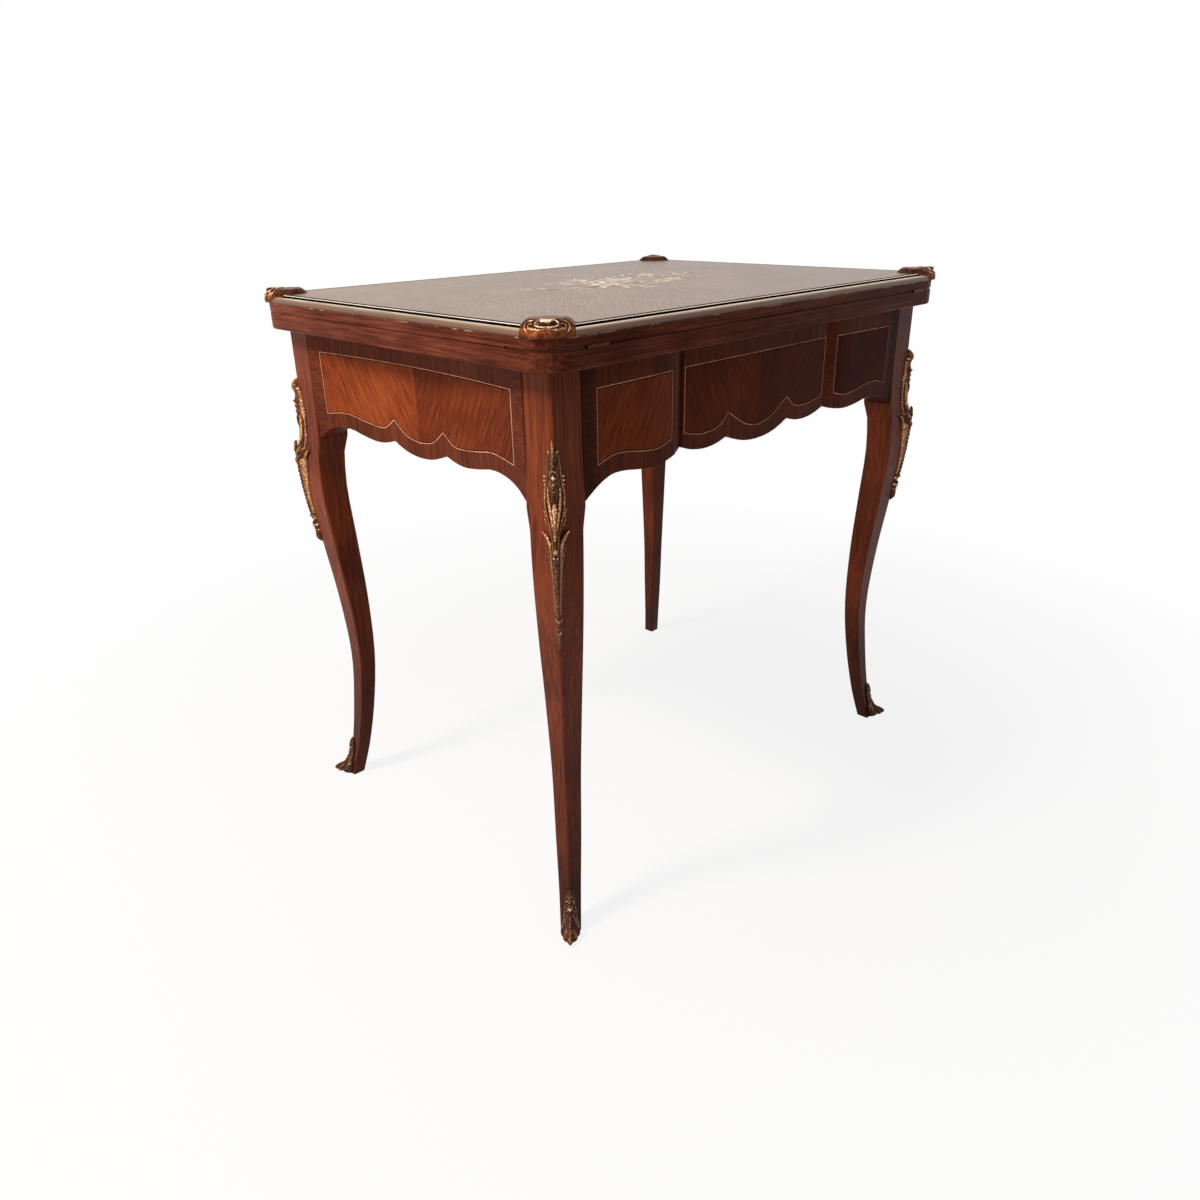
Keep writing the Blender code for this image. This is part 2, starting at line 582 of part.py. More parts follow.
def make_pivot():
    """The rail, housed in the long aprons, and the bolt that the top turns on."""
    top = FRAME_TOP - CLEARANCE
    half = RAIL_WIDTH / 2
    reach = HALF_DEPTH - APRON_INNER + RAIL_HOUSING
    rail = add_object("pivot_rail", box_mesh((PIVOT_X - half, -reach, top - RAIL_THICKNESS),
                                             (PIVOT_X + half, reach, top)), BEECH)
    gap = CLEARANCE
    for name, sy in (("front", -1), ("back", 1)):
        near, far = sy * (reach - RAIL_HOUSING - OVERRUN), sy * (reach + gap)
        low = (PIVOT_X - half - gap, min(near, far), top - RAIL_THICKNESS - gap)
        high = (PIVOT_X + half + gap, max(near, far), FRAME_TOP + OVERRUN)
        boolean(bpy.data.objects["apron_" + name], add_object("housing_" + name, box_mesh(low, high)))
    middle = top - RAIL_THICKNESS / 2
    bore = cylinder_mesh(BOLT_RADIUS + gap, (PIVOT_X, PIVOT_Y, middle), RAIL_THICKNESS + 2 * OVERRUN)
    boolean(rail, add_object("rail_bore", bore))

    # The bolt, its washer and its nut
    rail_base = top - RAIL_THICKNESS
    washer_top = rail_base - gap
    nut_top = washer_top - WASHER_THICKNESS - gap
    bolt_end = nut_top - NUT_HEIGHT - BOLT_TAIL
    flange_top = LOWER_LEAF_BASE + FLANGE_THICKNESS
    profile = ((0, flange_top), (FLANGE_RADIUS, flange_top), (FLANGE_RADIUS, LOWER_LEAF_BASE),
               (BOLT_RADIUS, LOWER_LEAF_BASE), (BOLT_RADIUS, bolt_end), (0, bolt_end))
    bolt = turned("pivot_bolt", profile, STEEL)
    washer = ring_object("pivot_washer", WASHER_RADIUS, washer_top - WASHER_THICKNESS, washer_top, 32)
    nut = ring_object("pivot_nut", NUT_WIDTH / math.sqrt(3), nut_top - NUT_HEIGHT, nut_top, 6)
    for piece in (bolt, washer, nut):
        piece.location = (PIVOT_X, PIVOT_Y, 0)

    # The stop under the lower leaf meets the front apron when closed and the rail when open
    front = APRON_INNER + gap - HALF_DEPTH
    back = PIVOT_Y - half - gap
    left = PIVOT_X + STOP_REACH
    stop_top = LOWER_LEAF_BASE - gap
    low, high = (left, front, stop_top - STOP_DROP), (left + STOP_LENGTH, back, stop_top)
    add_object("stop_block", box_mesh(low, high), BEECH)


def turned(name, profile, finish):
    """Turns a profile about the vertical."""
    bm = bmesh.new()
    verts = [bm.verts.new((x, 0, z)) for x, z in profile]
    for a, b in zip(verts, verts[1:]):
        bm.edges.new((a, b))
    mesh = bpy.data.meshes.new(name)
    bm.to_mesh(mesh)
    bm.free()
    item = bpy.data.objects.new(name, mesh)
    bpy.data.collections["games_table"].objects.link(item)
    colour, roughness, metallic = finish
    mesh.materials.append(new_material(name, colour, roughness, metallic))
    screw = item.modifiers.new("turn", "SCREW")
    screw.steps = 32
    screw.render_steps = 32
    screw.use_merge_vertices = True
    screw.merge_threshold = MERGE_DISTANCE
    return item


def ring_object(name, radius, low, high, sides):
    """A flat ring or a nut on the bolt."""
    middle = (0, 0, (low + high) / 2)
    item = add_object(name, cylinder_mesh(radius, middle, high - low, segments=sides), STEEL)
    shade_round(item)
    hole = cylinder_mesh(BOLT_RADIUS + CLEARANCE, middle, high - low + 2 * OVERRUN)
    bore = add_object(name + "_bore", hole)
    bore.location = (PIVOT_X, PIVOT_Y, 0)
    boolean(item, bore)
    return item


# The hinges: a bent plate in each leaf, three knuckles and a pin
def plate_outline(side):
    """An L that follows the leaf's rounded corner, from the front edge to the end edge."""
    radius = LEAF_CORNER_RADIUS
    centre = (HALF_LENGTH - radius, radius - HALF_DEPTH)
    inner, arm = HALF_LENGTH - PLATE_LENGTH, PLATE_ARM
    outer = [(inner, LEAF_EDGE_ROUND - HALF_DEPTH)] + arc(centre, radius - LEAF_EDGE_ROUND, 270, 360, 6)
    outer += [(HALF_LENGTH - LEAF_EDGE_ROUND, centre[1] + arm), (HALF_LENGTH - arm, centre[1] + arm),
              (HALF_LENGTH - arm, arm - HALF_DEPTH), (inner, arm - HALF_DEPTH)]
    return [(side * x, y) for x, y in outer]


def seat_outline(side):
    """The L cut for a plate, which runs out through both edges of the leaf."""
    inner, arm = HALF_LENGTH - PLATE_LENGTH - CLEARANCE, PLATE_ARM + CLEARANCE
    end = LEAF_CORNER_RADIUS + arm - HALF_DEPTH
    outline = ((inner, -HALF_DEPTH - OVERRUN), (HALF_LENGTH + OVERRUN, -HALF_DEPTH - OVERRUN),
               (HALF_LENGTH + OVERRUN, end), (HALF_LENGTH - arm, end), (HALF_LENGTH - arm, arm - HALF_DEPTH),
               (inner, arm - HALF_DEPTH))
    return [(side * x, y) for x, y in outline]


def make_hinges(lower_leaf, upper_leaf):
    for name, side in (("left", -1), ("right", 1)):
        start = HALF_LENGTH - PLATE_LENGTH + KNUCKLE_LENGTH / 2
        knuckles = [side * (start + KNUCKLE_LENGTH * (i + 0.5)) for i in range(3)]
        centre = (knuckles[1], HINGE_Y, HINGE_HEIGHT)
        bore = cylinder_mesh(HINGE_PIN_RADIUS + CLEARANCE, centre, 5 * KNUCKLE_LENGTH, "X", 12)
        pin_hole = add_object("pin_hole_" + name, bore)
        leaves = (
            ("lower", lower_leaf, LOWER_LEAF_TOP - PLATE_THICKNESS, LOWER_LEAF_TOP, (0, 2)),
            ("upper", upper_leaf, UPPER_LEAF_BASE, UPPER_LEAF_BASE + PLATE_THICKNESS, (1,)),
        )
        for level, leaf, low, high, owned in leaves:
            # The plate and its seat, which is cut a little deeper
            plate = add_object("hinge_plate_" + level + "_" + name,
                               prism_mesh(plate_outline(side), low, high), BRASS)
            below = CLEARANCE if level == "lower" else OVERRUN
            above = OVERRUN if level == "lower" else CLEARANCE
            seat = prism_mesh(seat_outline(side), low - below, high + above)
            boolean(leaf, add_object("seat_" + level + "_" + name, seat))
            for i in owned:
                add_knuckle(plate, leaf, knuckles[i], low, high, level, name + str(i))
            for i in set(range(3)) - set(owned):
                clear_knuckle(plate, leaf, knuckles[i], level, name + str(i))
            boolean(plate, pin_hole)
        pin = cylinder_mesh(HINGE_PIN_RADIUS, centre, 3 * KNUCKLE_LENGTH - CLEARANCE, "X", 12)
        shade_round(add_object("hinge_pin_" + name, pin, BRASS))


def add_knuckle(plate, leaf, x, low, high, level, tag):
    """A knuckle, its web to the plate, and the room for both in the leaf."""
    length = KNUCKLE_LENGTH - CLEARANCE
    centre = (x, HINGE_Y, HINGE_HEIGHT)
    barrel = cylinder_mesh(KNUCKLE_RADIUS, centre, length, "X", 16)
    web = box_mesh((x - length / 2, HINGE_Y, low), (x + length / 2, -HALF_DEPTH + PLATE_ARM / 2, high))
    boolean(plate, add_object("web_" + level + "_" + tag, web), "UNION")
    boolean(plate, add_object("knuckle_" + level + "_" + tag, barrel), "UNION")
    room = cylinder_mesh(KNUCKLE_RADIUS + CLEARANCE, centre, KNUCKLE_LENGTH + CLEARANCE, "X", 16)
    boolean(leaf, add_object("room_" + level + "_" + tag, room))


def clear_knuckle(plate, leaf, x, level, tag):
    """Room in a plate and its leaf for the other plate's knuckle."""
    centre = (x, HINGE_Y, HINGE_HEIGHT)
    room = cylinder_mesh(KNUCKLE_RADIUS + CLEARANCE, centre, KNUCKLE_LENGTH + CLEARANCE, "X", 16)
    tool = add_object("room_" + level + "_" + tag, room)
    boolean(plate, tool)
    boolean(leaf, tool)


# The corner mounts: a cast cap over each corner of the top, with an oval cabochon
# The side as shares of the length and half width, then rising levels: height, lean and width
MOUNT_SIDE_SHARES = ((0.64, 1.0), (0.73, 0.94), (0.83, 1.0), (0.87, 0.90), (0.86, 0.62), (0.93, 0.48),
                     (0.985, 0.26))
MOUNT_LEVEL_SHARES = ((0.0, 0.03, 1.0), (0.14, 0.0, 1.0), (0.35, 0.02, 1.0), (0.54, 0.13, 1.0),
                      (0.63, 0.25, 0.99), (0.73, 0.40, 0.92), (0.84, 0.61, 0.85), (0.93, 0.82, 0.77),
                      (1.0, 1.0, 0.66))
MOUNT_MIDDLE_SHARE = 0.62


def from_diagonal(along, across):
    """Insets from the two edges of a point measured along and across the corner's diagonal."""
    return (along + across) / math.sqrt(2), (along - across) / math.sqrt(2)


def corner_mount_ring(lean, wide):
    """The plan at one level, in insets: an arc at the corner, and sides along the diagonal."""
    radius = CORNER_MOUNT_RADIUS
    half_width = wide * CORNER_MOUNT_REACH / math.sqrt(2)
    middle = CORNER_MOUNT_LENGTH * MOUNT_MIDDLE_SHARE
    side = [(half_width + lean * math.sqrt(2), half_width)]
    for along, across in MOUNT_SIDE_SHARES + ((1.0, 0.0),):
        side.append((middle + (along * CORNER_MOUNT_LENGTH - middle) * wide, across * half_width))
    ring = arc((radius, radius), radius - lean, 270, 180, 8)
    ring += [from_diagonal(along, -across) for along, across in side]
    return ring + [from_diagonal(along, across) for along, across in reversed(side[:-1])]


def make_corner_mounts(upper_leaf):
    low, high = RIM_BASE + CLEARANCE, TABLE_HEIGHT + CORNER_MOUNT_RISE
    core = rounded_rectangle(HALF_LENGTH - RIM_WIDTH + CLEARANCE, HALF_DEPTH - RIM_WIDTH + CLEARANCE,
                             LEAF_CORNER_RADIUS - RIM_WIDTH + CLEARANCE)
    seat = TABLE_HEIGHT - CORNER_MOUNT_SEAT
    core_tool = add_object("leaf_core", prism_mesh(core, RIM_BASE - OVERRUN, seat + CLEARANCE))
    for place, sx, sy in CORNERS:
        # The mount is let a little into the top
        grown = corner_mount_ring(0, 1 + CLEARANCE / CORNER_MOUNT_REACH * math.sqrt(2))
        plan = [corner_point(sx, sy, a, b, 0)[:2] for a, b in grown]
        boolean(upper_leaf, add_object("mount_seat_" + place, prism_mesh(plan, seat, seat + OVERRUN)))
        rings = []
        for rise, lean, wide in MOUNT_LEVEL_SHARES:
            plan = corner_mount_ring(lean * CORNER_MOUNT_LEAN, wide)
            rings.append([corner_point(sx, sy, a, b, low + (high - low) * rise) for a, b in plan])
        mount = add_object("corner_mount_" + place, loft_mesh(rings), GILT_BRONZE)
        shade_round(mount)
        boolean(mount, core_tool)
        # The cabochon leans outwards on the slope behind the smooth front
        height = TABLE_HEIGHT + CORNER_MOUNT_RISE * CABOCHON_HEIGHT_SHARE
        centre = corner_point(sx, sy, CABOCHON_INSET, CABOCHON_INSET, height)
        turn = Matrix.Rotation(math.atan2(sy, sx) - math.pi / 2, 4, "Z")
        tilt = Matrix.Rotation(math.radians(-CABOCHON_TILT), 4, "X")
        size = Matrix.Diagonal((CABOCHON_LENGTH, CABOCHON_WIDTH, CABOCHON_RISE, 1))
        oval = bmesh.new()
        bmesh.ops.create_uvsphere(oval, u_segments=18, v_segments=10, radius=1,
                                  matrix=Matrix.Translation(centre) @ turn @ tilt @ size)
        boolean(mount, add_object("cabochon_" + place, oval), "UNION")


# The knee and foot mounts: relief strips wrapped round the arris of the leg
def mount_ring(sx, sy, height, width, relief):
    """A section round the arris: two wings on the faces and a nose on the arris."""
    inset = leg_section(height)[0]
    wall = min(MOUNT_WALL, relief)
    nose = min(width * NOSE_WIDTH_SHARE, relief * NOSE_RELIEF_SHARE)
    diagonal = relief / math.sqrt(2)
    points = [(width, -wall), (nose, -diagonal), (-diagonal, -diagonal), (-diagonal, nose), (-wall, width)]
    points += [(MOUNT_SEAT, width), (MOUNT_SEAT, MOUNT_SEAT), (width, MOUNT_SEAT)]
    return [corner_point(sx, sy, inset + a, inset + b, height) for a, b in points]


def make_wrapped_mounts(kind, base, length, width, relief, places, widths, reliefs):
    for place, sx, sy in CORNERS:
        rings = []
        for at, wide, deep in zip(places, widths, reliefs):
            side = MOUNT_SEAT + (width - MOUNT_SEAT) * wide
            rings.append(mount_ring(sx, sy, base + at * length, side, relief * deep))
        mount = add_object(kind + "_" + place, loft_mesh(rings), GILT_BRONZE)
        shade_round(mount)
        low = max(base - OVERRUN, 0)
        cutter = leg_mesh(sx, sy, low, base + length + OVERRUN, 2 * len(places), CLEARANCE)
        boolean(mount, add_object(kind + "_seat_" + place, cutter))


def main():
    start()
    lower_leaf, upper_leaf = make_leaves()
    make_rims()
    make_legs()
    make_aprons()
    make_corner_blocks()
    make_well()
    make_pivot()
    make_hinges(lower_leaf, upper_leaf)
    make_corner_mounts(upper_leaf)
    knee_base = FRAME_TOP - KNEE_MOUNT_DROP - KNEE_MOUNT_LENGTH
    make_wrapped_mounts("knee_mount", knee_base, KNEE_MOUNT_LENGTH, KNEE_MOUNT_WIDTH, KNEE_MOUNT_RELIEF,
                        KNEE_PLACE_SHARES, KNEE_WIDTH_SHARES, KNEE_RELIEF_SHARES)
    make_wrapped_mounts("sabot", SABOT_LIFT, SABOT_HEIGHT, SABOT_WIDTH, SABOT_TOE, SABOT_PLACE_SHARES,
                        SABOT_WIDTH_SHARES, SABOT_RELIEF_SHARES)


main()
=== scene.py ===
"""The looks of the games table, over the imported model."""
import math

import bmesh
import bpy
from mathutils import Matrix, Vector
from mathutils.bvhtree import BVHTree


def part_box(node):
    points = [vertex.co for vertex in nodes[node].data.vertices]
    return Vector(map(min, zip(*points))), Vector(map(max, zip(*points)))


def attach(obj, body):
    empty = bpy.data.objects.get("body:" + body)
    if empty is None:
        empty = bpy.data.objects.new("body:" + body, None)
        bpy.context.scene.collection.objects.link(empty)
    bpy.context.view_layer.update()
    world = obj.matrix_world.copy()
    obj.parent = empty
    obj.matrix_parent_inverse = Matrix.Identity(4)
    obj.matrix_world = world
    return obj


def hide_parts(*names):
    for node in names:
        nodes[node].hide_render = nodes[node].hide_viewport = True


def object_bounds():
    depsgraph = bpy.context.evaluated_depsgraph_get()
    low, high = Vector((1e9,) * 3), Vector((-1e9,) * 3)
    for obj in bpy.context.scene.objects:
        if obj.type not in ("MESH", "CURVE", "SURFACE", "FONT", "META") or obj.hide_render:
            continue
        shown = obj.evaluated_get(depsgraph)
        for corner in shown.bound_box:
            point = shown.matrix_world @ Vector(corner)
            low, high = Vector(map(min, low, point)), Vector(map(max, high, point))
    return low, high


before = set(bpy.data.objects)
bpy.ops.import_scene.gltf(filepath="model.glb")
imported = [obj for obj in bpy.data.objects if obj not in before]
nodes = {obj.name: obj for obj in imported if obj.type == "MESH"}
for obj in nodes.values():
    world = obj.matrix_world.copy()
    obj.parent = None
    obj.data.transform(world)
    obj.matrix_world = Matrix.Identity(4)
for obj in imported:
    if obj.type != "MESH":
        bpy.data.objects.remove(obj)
cad_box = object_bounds()

# The camera stands off the near corner of the closed table and looks down on it a little.
# Its place, lens and slight lean come from the table's own edges as they run in the photograph.
CAMERA_PLACE = (-0.985, -0.948, 0.882)
FOCAL_LENGTH, SENSOR_WIDTH = 27.40, 36
HEADING, LOOKING_DOWN, LEAN = 45.29, 24.06, -1.05
camera_lens = bpy.data.cameras.new("camera")
camera_lens.sensor_width = SENSOR_WIDTH
camera_lens.lens = FOCAL_LENGTH
camera = bpy.data.objects.new("camera", camera_lens)
bpy.context.scene.collection.objects.link(camera)
heading = Matrix.Rotation(math.radians(HEADING - 90), 4, "Z")
tilt = Matrix.Rotation(math.radians(90 - LOOKING_DOWN), 4, "X")
lean = Matrix.Rotation(math.radians(LEAN), 4, "Z")
camera.matrix_world = Matrix.Translation(CAMERA_PLACE) @ heading @ tilt @ lean
bpy.context.scene.camera = camera
bpy.context.scene.view_settings.view_transform = "Standard"


# The studio: a pale floor and a white surround, which metal and polish reflect as well. A broad
# lamp from the left lights the short side, and a weak surround lights the rest, as on an overcast
# yard.
def linear(hex_colour):
    """An sRGB hex colour as linear red, green, blue and alpha."""
    channels = [int(hex_colour[i:i + 2], 16) / 255 for i in (1, 3, 5)]
    return (*(c / 12.92 if c <= 0.04045 else ((c + 0.055) / 1.055) ** 2.4 for c in channels), 1.0)


def add_node(tree, kind, settings=None, links=None):
    """Adds a node, sets its properties, ramp and sockets, and links other nodes' outputs to it."""
    node = tree.nodes.new("ShaderNode" + kind)
    for key, value in (settings or {}).items():
        if key == "ramp":
            for place, colour in value[2:]:
                node.color_ramp.elements.new(place)
            for element, (place, colour) in zip(node.color_ramp.elements, sorted(value)):
                element.position = place
                element.color = linear(colour)
        elif isinstance(key, int) or key in node.inputs:
            node.inputs[key].default_value = value
        else:
            setattr(node, key, value)
    for key, output in (links or {}).items():
        tree.links.new(output, node.inputs[key])
    return node


def maths(tree, operation, *terms):
    """One sum or comparison of numbers and other nodes' outputs."""
    numbers = {i: term for i, term in enumerate(terms) if isinstance(term, (int, float))}
    outputs = {i: term for i, term in enumerate(terms) if i not in numbers}
    return add_node(tree, "Math", {"operation": operation, **numbers}, outputs).outputs[0]


def remap(tree, value, start, end, first, last):
    """A value that runs from first to last while another runs from start to end."""
    limits = {"From Min": start, "From Max": end, "To Min": first, "To Max": last}
    return add_node(tree, "MapRange", limits, {0: value}).outputs[0]


def seen_rays(tree):
    """1 for rays that show the surroundings: from the camera, in gloss and through glass."""
    path = add_node(tree, "LightPath").outputs
    seen = maths(tree, "MAXIMUM", path["Is Camera Ray"], path["Is Glossy Ray"])
    return maths(tree, "MAXIMUM", seen, path["Is Transmission Ray"])


world = bpy.data.worlds.new("surround")
bpy.context.scene.world = world
world.use_nodes = True
sky = world.node_tree
sky.nodes.clear()
ambient = add_node(sky, "Background", {"Color": linear("#F6F4FA"), "Strength": 0.16})
white = add_node(sky, "Background", {"Color": (1, 1, 1, 1), "Strength": 1.0})
either = add_node(sky, "MixShader",
                  links={0: seen_rays(sky), 1: ambient.outputs[0], 2: white.outputs[0]})
add_node(sky, "OutputWorld", links={"Surface": either.outputs[0]})

floor_mesh = bmesh.new()
FLOOR_RADIUS = 9
bmesh.ops.create_circle(floor_mesh, cap_ends=True, segments=64, radius=FLOOR_RADIUS)
floor_data = bpy.data.meshes.new("floor")
floor_mesh.to_mesh(floor_data)
floor_mesh.free()
floor = bpy.data.objects.new("floor", floor_data)
bpy.context.scene.collection.objects.link(floor)
floor_paint = bpy.data.materials.new("pale_floor_paint")
floor_paint.use_nodes = True
floor_data.materials.append(floor_paint)
tree = floor_paint.node_tree
tree.nodes.clear()
matt = add_node(tree, "BsdfDiffuse", {"Color": linear("#F2F2F2")})
glow = add_node(tree, "Emission", {"Color": (1, 1, 1, 1), "Strength": 1.0})
place = add_node(tree, "TexCoord").outputs["Object"]
away = add_node(tree, "VectorMath", {"operation": "LENGTH"}, {0: place})
# Beyond the table's shadow the paint is plain white, so no horizon shows
whiter = remap(tree, away.outputs["Value"], 0.5, 1.5, 0.86, 1.0)
mostly = maths(tree, "MULTIPLY", seen_rays(tree), whiter)
blend = add_node(tree, "MixShader", links={0: mostly, 1: matt.outputs[0], 2: glow.outputs[0]})
add_node(tree, "OutputMaterial", links={"Surface": blend.outputs[0]})

for lamp_name, place, aim, size, power, tint in (
        ("left_lamp", (-2.0, 0.42, 2.55), (0.0, 0.0, 0.5), 0.55, 74, "#FFF4E6"),
        ("left_fill", (-3.2, 0.9, 0.8), (0.0, 0.0, 0.4), 2.2, 34, "#FFEFE0"),
        ("front_lamp", (-1.15, -1.35, 1.75), (-0.3, -0.3, 0.55), 0.9, 3.6, "#F6F2F4")):
    lamp_data = bpy.data.lights.new(lamp_name, "AREA")
    lamp_data.size = size
    lamp_data.energy = power
    lamp_data.color = linear(tint)[:3]
    lamp = bpy.data.objects.new(lamp_name, lamp_data)
    bpy.context.scene.collection.objects.link(lamp)
    lamp.location = place
    lamp.rotation_euler = (Vector(aim) - Vector(place)).to_track_quat("-Z", "Y").to_euler()


# The legs: solid rosewood-coloured wood, sawn and carved to an S curve and french polished. The
# grain runs down the leg, with fine open pores and a warmer tone where the light comes through.
def set_finish(material, settings=None, links=None):
    """Sets the sockets of a finish, or links other nodes' outputs to them."""
    shader = material.node_tree.nodes["Principled BSDF"]
    for key, value in (settings or {}).items():
        shader.inputs[key].default_value = value
    for key, output in (links or {}).items():
        material.node_tree.links.new(output, shader.inputs[key])


def new_finish(name, settings):
    """A new material with some of its sockets set, and its node tree."""
    material = bpy.data.materials.new(name)
    material.use_nodes = True
    set_finish(material, settings)
    return material, material.node_tree


def multiplied(tree, colour, by, share=1.0):
    """A colour darkened by another colour or by a value."""
    return add_node(tree, "Mix", {"data_type": "RGBA", "blend_type": "MULTIPLY", 0: share},
                    {6: colour, 7: by}).outputs[2]


# The figure of the wood is drawn out along its grain
grain_scale = {"X": (0.03, 1, 1), "Y": (1, 0.03, 1), "Z": (1, 1, 0.03), "UV": (1, 0.05, 1)}


def polished_wood(name, shades, grain="Z", pore=0.0009, stripe=0.007, depth=1.0, gloss=0.30,
                  shine=0.02, tint="#FFFFFF"):
    """Polished wood in dark, middle and light shades; its grain follows an axis or the UV map.

    Pore and stripe are widths in the wood, and depth is how open its pores are.
    """
    material, tree = new_finish(name, {"Specular IOR Level": shine, "Specular Tint": linear(tint)})
    place = add_node(tree, "TexCoord").outputs["UV" if grain == "UV" else "Object"]
    run = add_node(tree, "Mapping", {"Scale": grain_scale[grain]}, {"Vector": place}).outputs[0]
    figure = add_node(tree, "TexNoise", {"Scale": 1 / stripe, "Detail": 4.0, "Roughness": 0.62,
                                         "Distortion": 0.5}, {"Vector": run})
    cloud = add_node(tree, "TexNoise", {"Scale": 11.0, "Detail": 2.0}, {"Vector": place})
    mixed = maths(tree, "MULTIPLY_ADD", cloud.outputs[0], 0.55, figure.outputs[0])
    dark, middle, light = shades
    colour = add_node(tree, "ValToRGB", {"ramp": ((0.50, dark), (0.96, light), (0.76, middle))},
                      {0: mixed})
    pores = add_node(tree, "TexNoise", {"Scale": 1 / pore, "Detail": 2.0, "Roughness": 0.7},
                     {"Vector": run})
    open_pores = remap(tree, pores.outputs[0], 0.38, 0.52, 0.55, 1.0)
    pored = multiplied(tree, colour.outputs[0], open_pores, 0.75 * depth)
    if grain == "UV":
        # Each leaf of veneer is dulled by its tone: by how it is turned over in the match, and on
        # the long sides also by painted shade that deepens towards the right
        tone = add_node(tree, "Attribute", {"attribute_name": "tone"}).outputs["Fac"]
        match_and_shade_dulling = add_node(tree, "ValToRGB", {"ramp": ((0.0, "#FFFFFF"), (1.0, "#6C4C48"))},
                          {0: tone})
        pored = multiplied(tree, pored, match_and_shade_dulling.outputs[0])
    bump = add_node(tree, "Bump", {"Strength": 0.35 * depth, "Distance": 0.0002},
                    {"Height": open_pores})
    rough = remap(tree, open_pores, 0.0, 1.0, gloss + 0.16, gloss)
    set_finish(material, links={"Base Color": pored, "Roughness": rough, "Normal": bump.outputs[0]})
    return material


def split(tree, vector):
    """The three parts of a vector."""
    return add_node(tree, "SeparateXYZ", links={0: vector}).outputs


def base_colour(material):
    """The output that gives a finish its colour so far."""
    return material.node_tree.nodes["Principled BSDF"].inputs["Base Color"].links[0].from_socket


def shaded(material, axis, start, end, first, last):
    """Multiplies a finish's colour by a value that runs from first to last between two distances.

    The distances are measured from the origin, along the axis.
    """
    tree = material.node_tree
    far = maths(tree, "ABSOLUTE", split(tree, add_node(tree, "TexCoord").outputs["Object"])[axis])
    value = remap(tree, far, start, end, first, last)
    set_finish(material, links={"Base Color": multiplied(tree, base_colour(material), value)})


def dress(names, material):
    """Gives CAD nodes a finish."""
    for name in names:
        nodes[name].data.materials.clear()
        nodes[name].data.materials.append(material)


corners = {"front_left": (-1, -1), "front_right": (1, -1),
           "back_left": (-1, 1), "back_right": (1, 1)}
sides = ("front", "right", "back", "left")
leg_wood = polished_wood("polished_rosewood", ("#441A0C", "#6A2E15", "#843F20"),
                         stripe=0.0030, shine=0.07)
# The wood is darker towards the feet
shaded(leg_wood, "Z", start=0.04, end=0.32, first=0.44, last=1.0)
dress(["leg_" + place for place in corners], leg_wood)

# The frame's inner pieces: plain beech, sawn and planed and left bare, screwed and glued inside
# the frame, where they carry the top's pivot and the bottom of the card well.
bare_beech = polished_wood("bare_beech", ("#8E6A47", "#A98258", "#BE976B"), "Y",
                           depth=0.5, gloss=0.62)
dress(["corner_block_" + place for place in corners], bare_beech)
dress(["well_board", "cleat_front", "cleat_back", "pivot_rail", "stop_block"], bare_beech)

# The pivot: a forged iron bolt with a flange let into the lower leaf, a washer and a nut under the
# rail. The iron is dull and dark, with a faint hammered unevenness.
forged_iron, tree = new_finish("forged_iron", {"Metallic": 1.0})
place = add_node(tree, "TexCoord").outputs["Object"]
hammered = add_node(tree, "TexNoise", {"Scale": 250.0, "Detail": 3.0}, {"Vector": place}).outputs[0]
colour = add_node(tree, "ValToRGB", {"ramp": ((0.3, "#3A3634"), (0.8, "#6A6560"))}, {0: hammered})
bump = add_node(tree, "Bump", {"Strength": 0.3, "Distance": 0.0004}, {"Height": hammered})
set_finish(forged_iron, links={"Base Color": colour.outputs[0], "Normal": bump.outputs[0],
                               "Roughness": remap(tree, hammered, 0.0, 1.0, 0.42, 0.62)})
dress(["pivot_bolt", "pivot_washer", "pivot_nut"], forged_iron)

# The aprons: dark cross-banded veneer, its short grain running up and down, round lighter panels
# of bookmatched veneer. A line of boxwood is let in round each panel.
def two_way_veneer(name, shades, first, second, where, pore=0.0010, stripe=0.004):
    """Veneer with its grain along one axis, and along another where the mask says 1."""
    material = polished_wood(name, shades, first, pore, stripe, shine=0.025)
    tree = material.node_tree
    run = next(n for n in tree.nodes if n.type == "MAPPING")
    readers = [link.to_socket for link in run.outputs[0].links]
    place = run.inputs["Vector"].links[0].from_socket
    turned = add_node(tree, "Mapping", {"Scale": grain_scale[second]}, {"Vector": place}).outputs[0]
    either = add_node(tree, "Mix", {"data_type": "VECTOR"},
                      {0: where(tree, place), 4: run.outputs[0], 5: turned})
    for socket in readers:
        tree.links.new(either.outputs[1], socket)
    return material


def near(tree, value, middle, half):
    """1 where a value lies within half of the middle."""
    return maths(tree, "COMPARE", value, middle, half)


def beside_panels(axis, strips):
    """A mask for the upright bands: distances from the apron's middle, as centre and half width."""
    def mask(tree, place):
        far = maths(tree, "ABSOLUTE", split(tree, place)[axis])
        found = 0.0
        for middle, half in strips:
            found = maths(tree, "ADD", found, near(tree, far, middle, half))
        return found
    return mask


banding_shades = ("#461D12", "#5A2919", "#6C3521")
short_banding = two_way_veneer("dark_banding_short_sides", banding_shades, "Z", "Y",
                               beside_panels("Y", ((0.298, 0.100),)))
long_banding = two_way_veneer("dark_banding_long_sides", banding_shades, "Z", "X",
                              beside_panels("X", ((0.406, 0.100), (0.1628, 0.0125))))


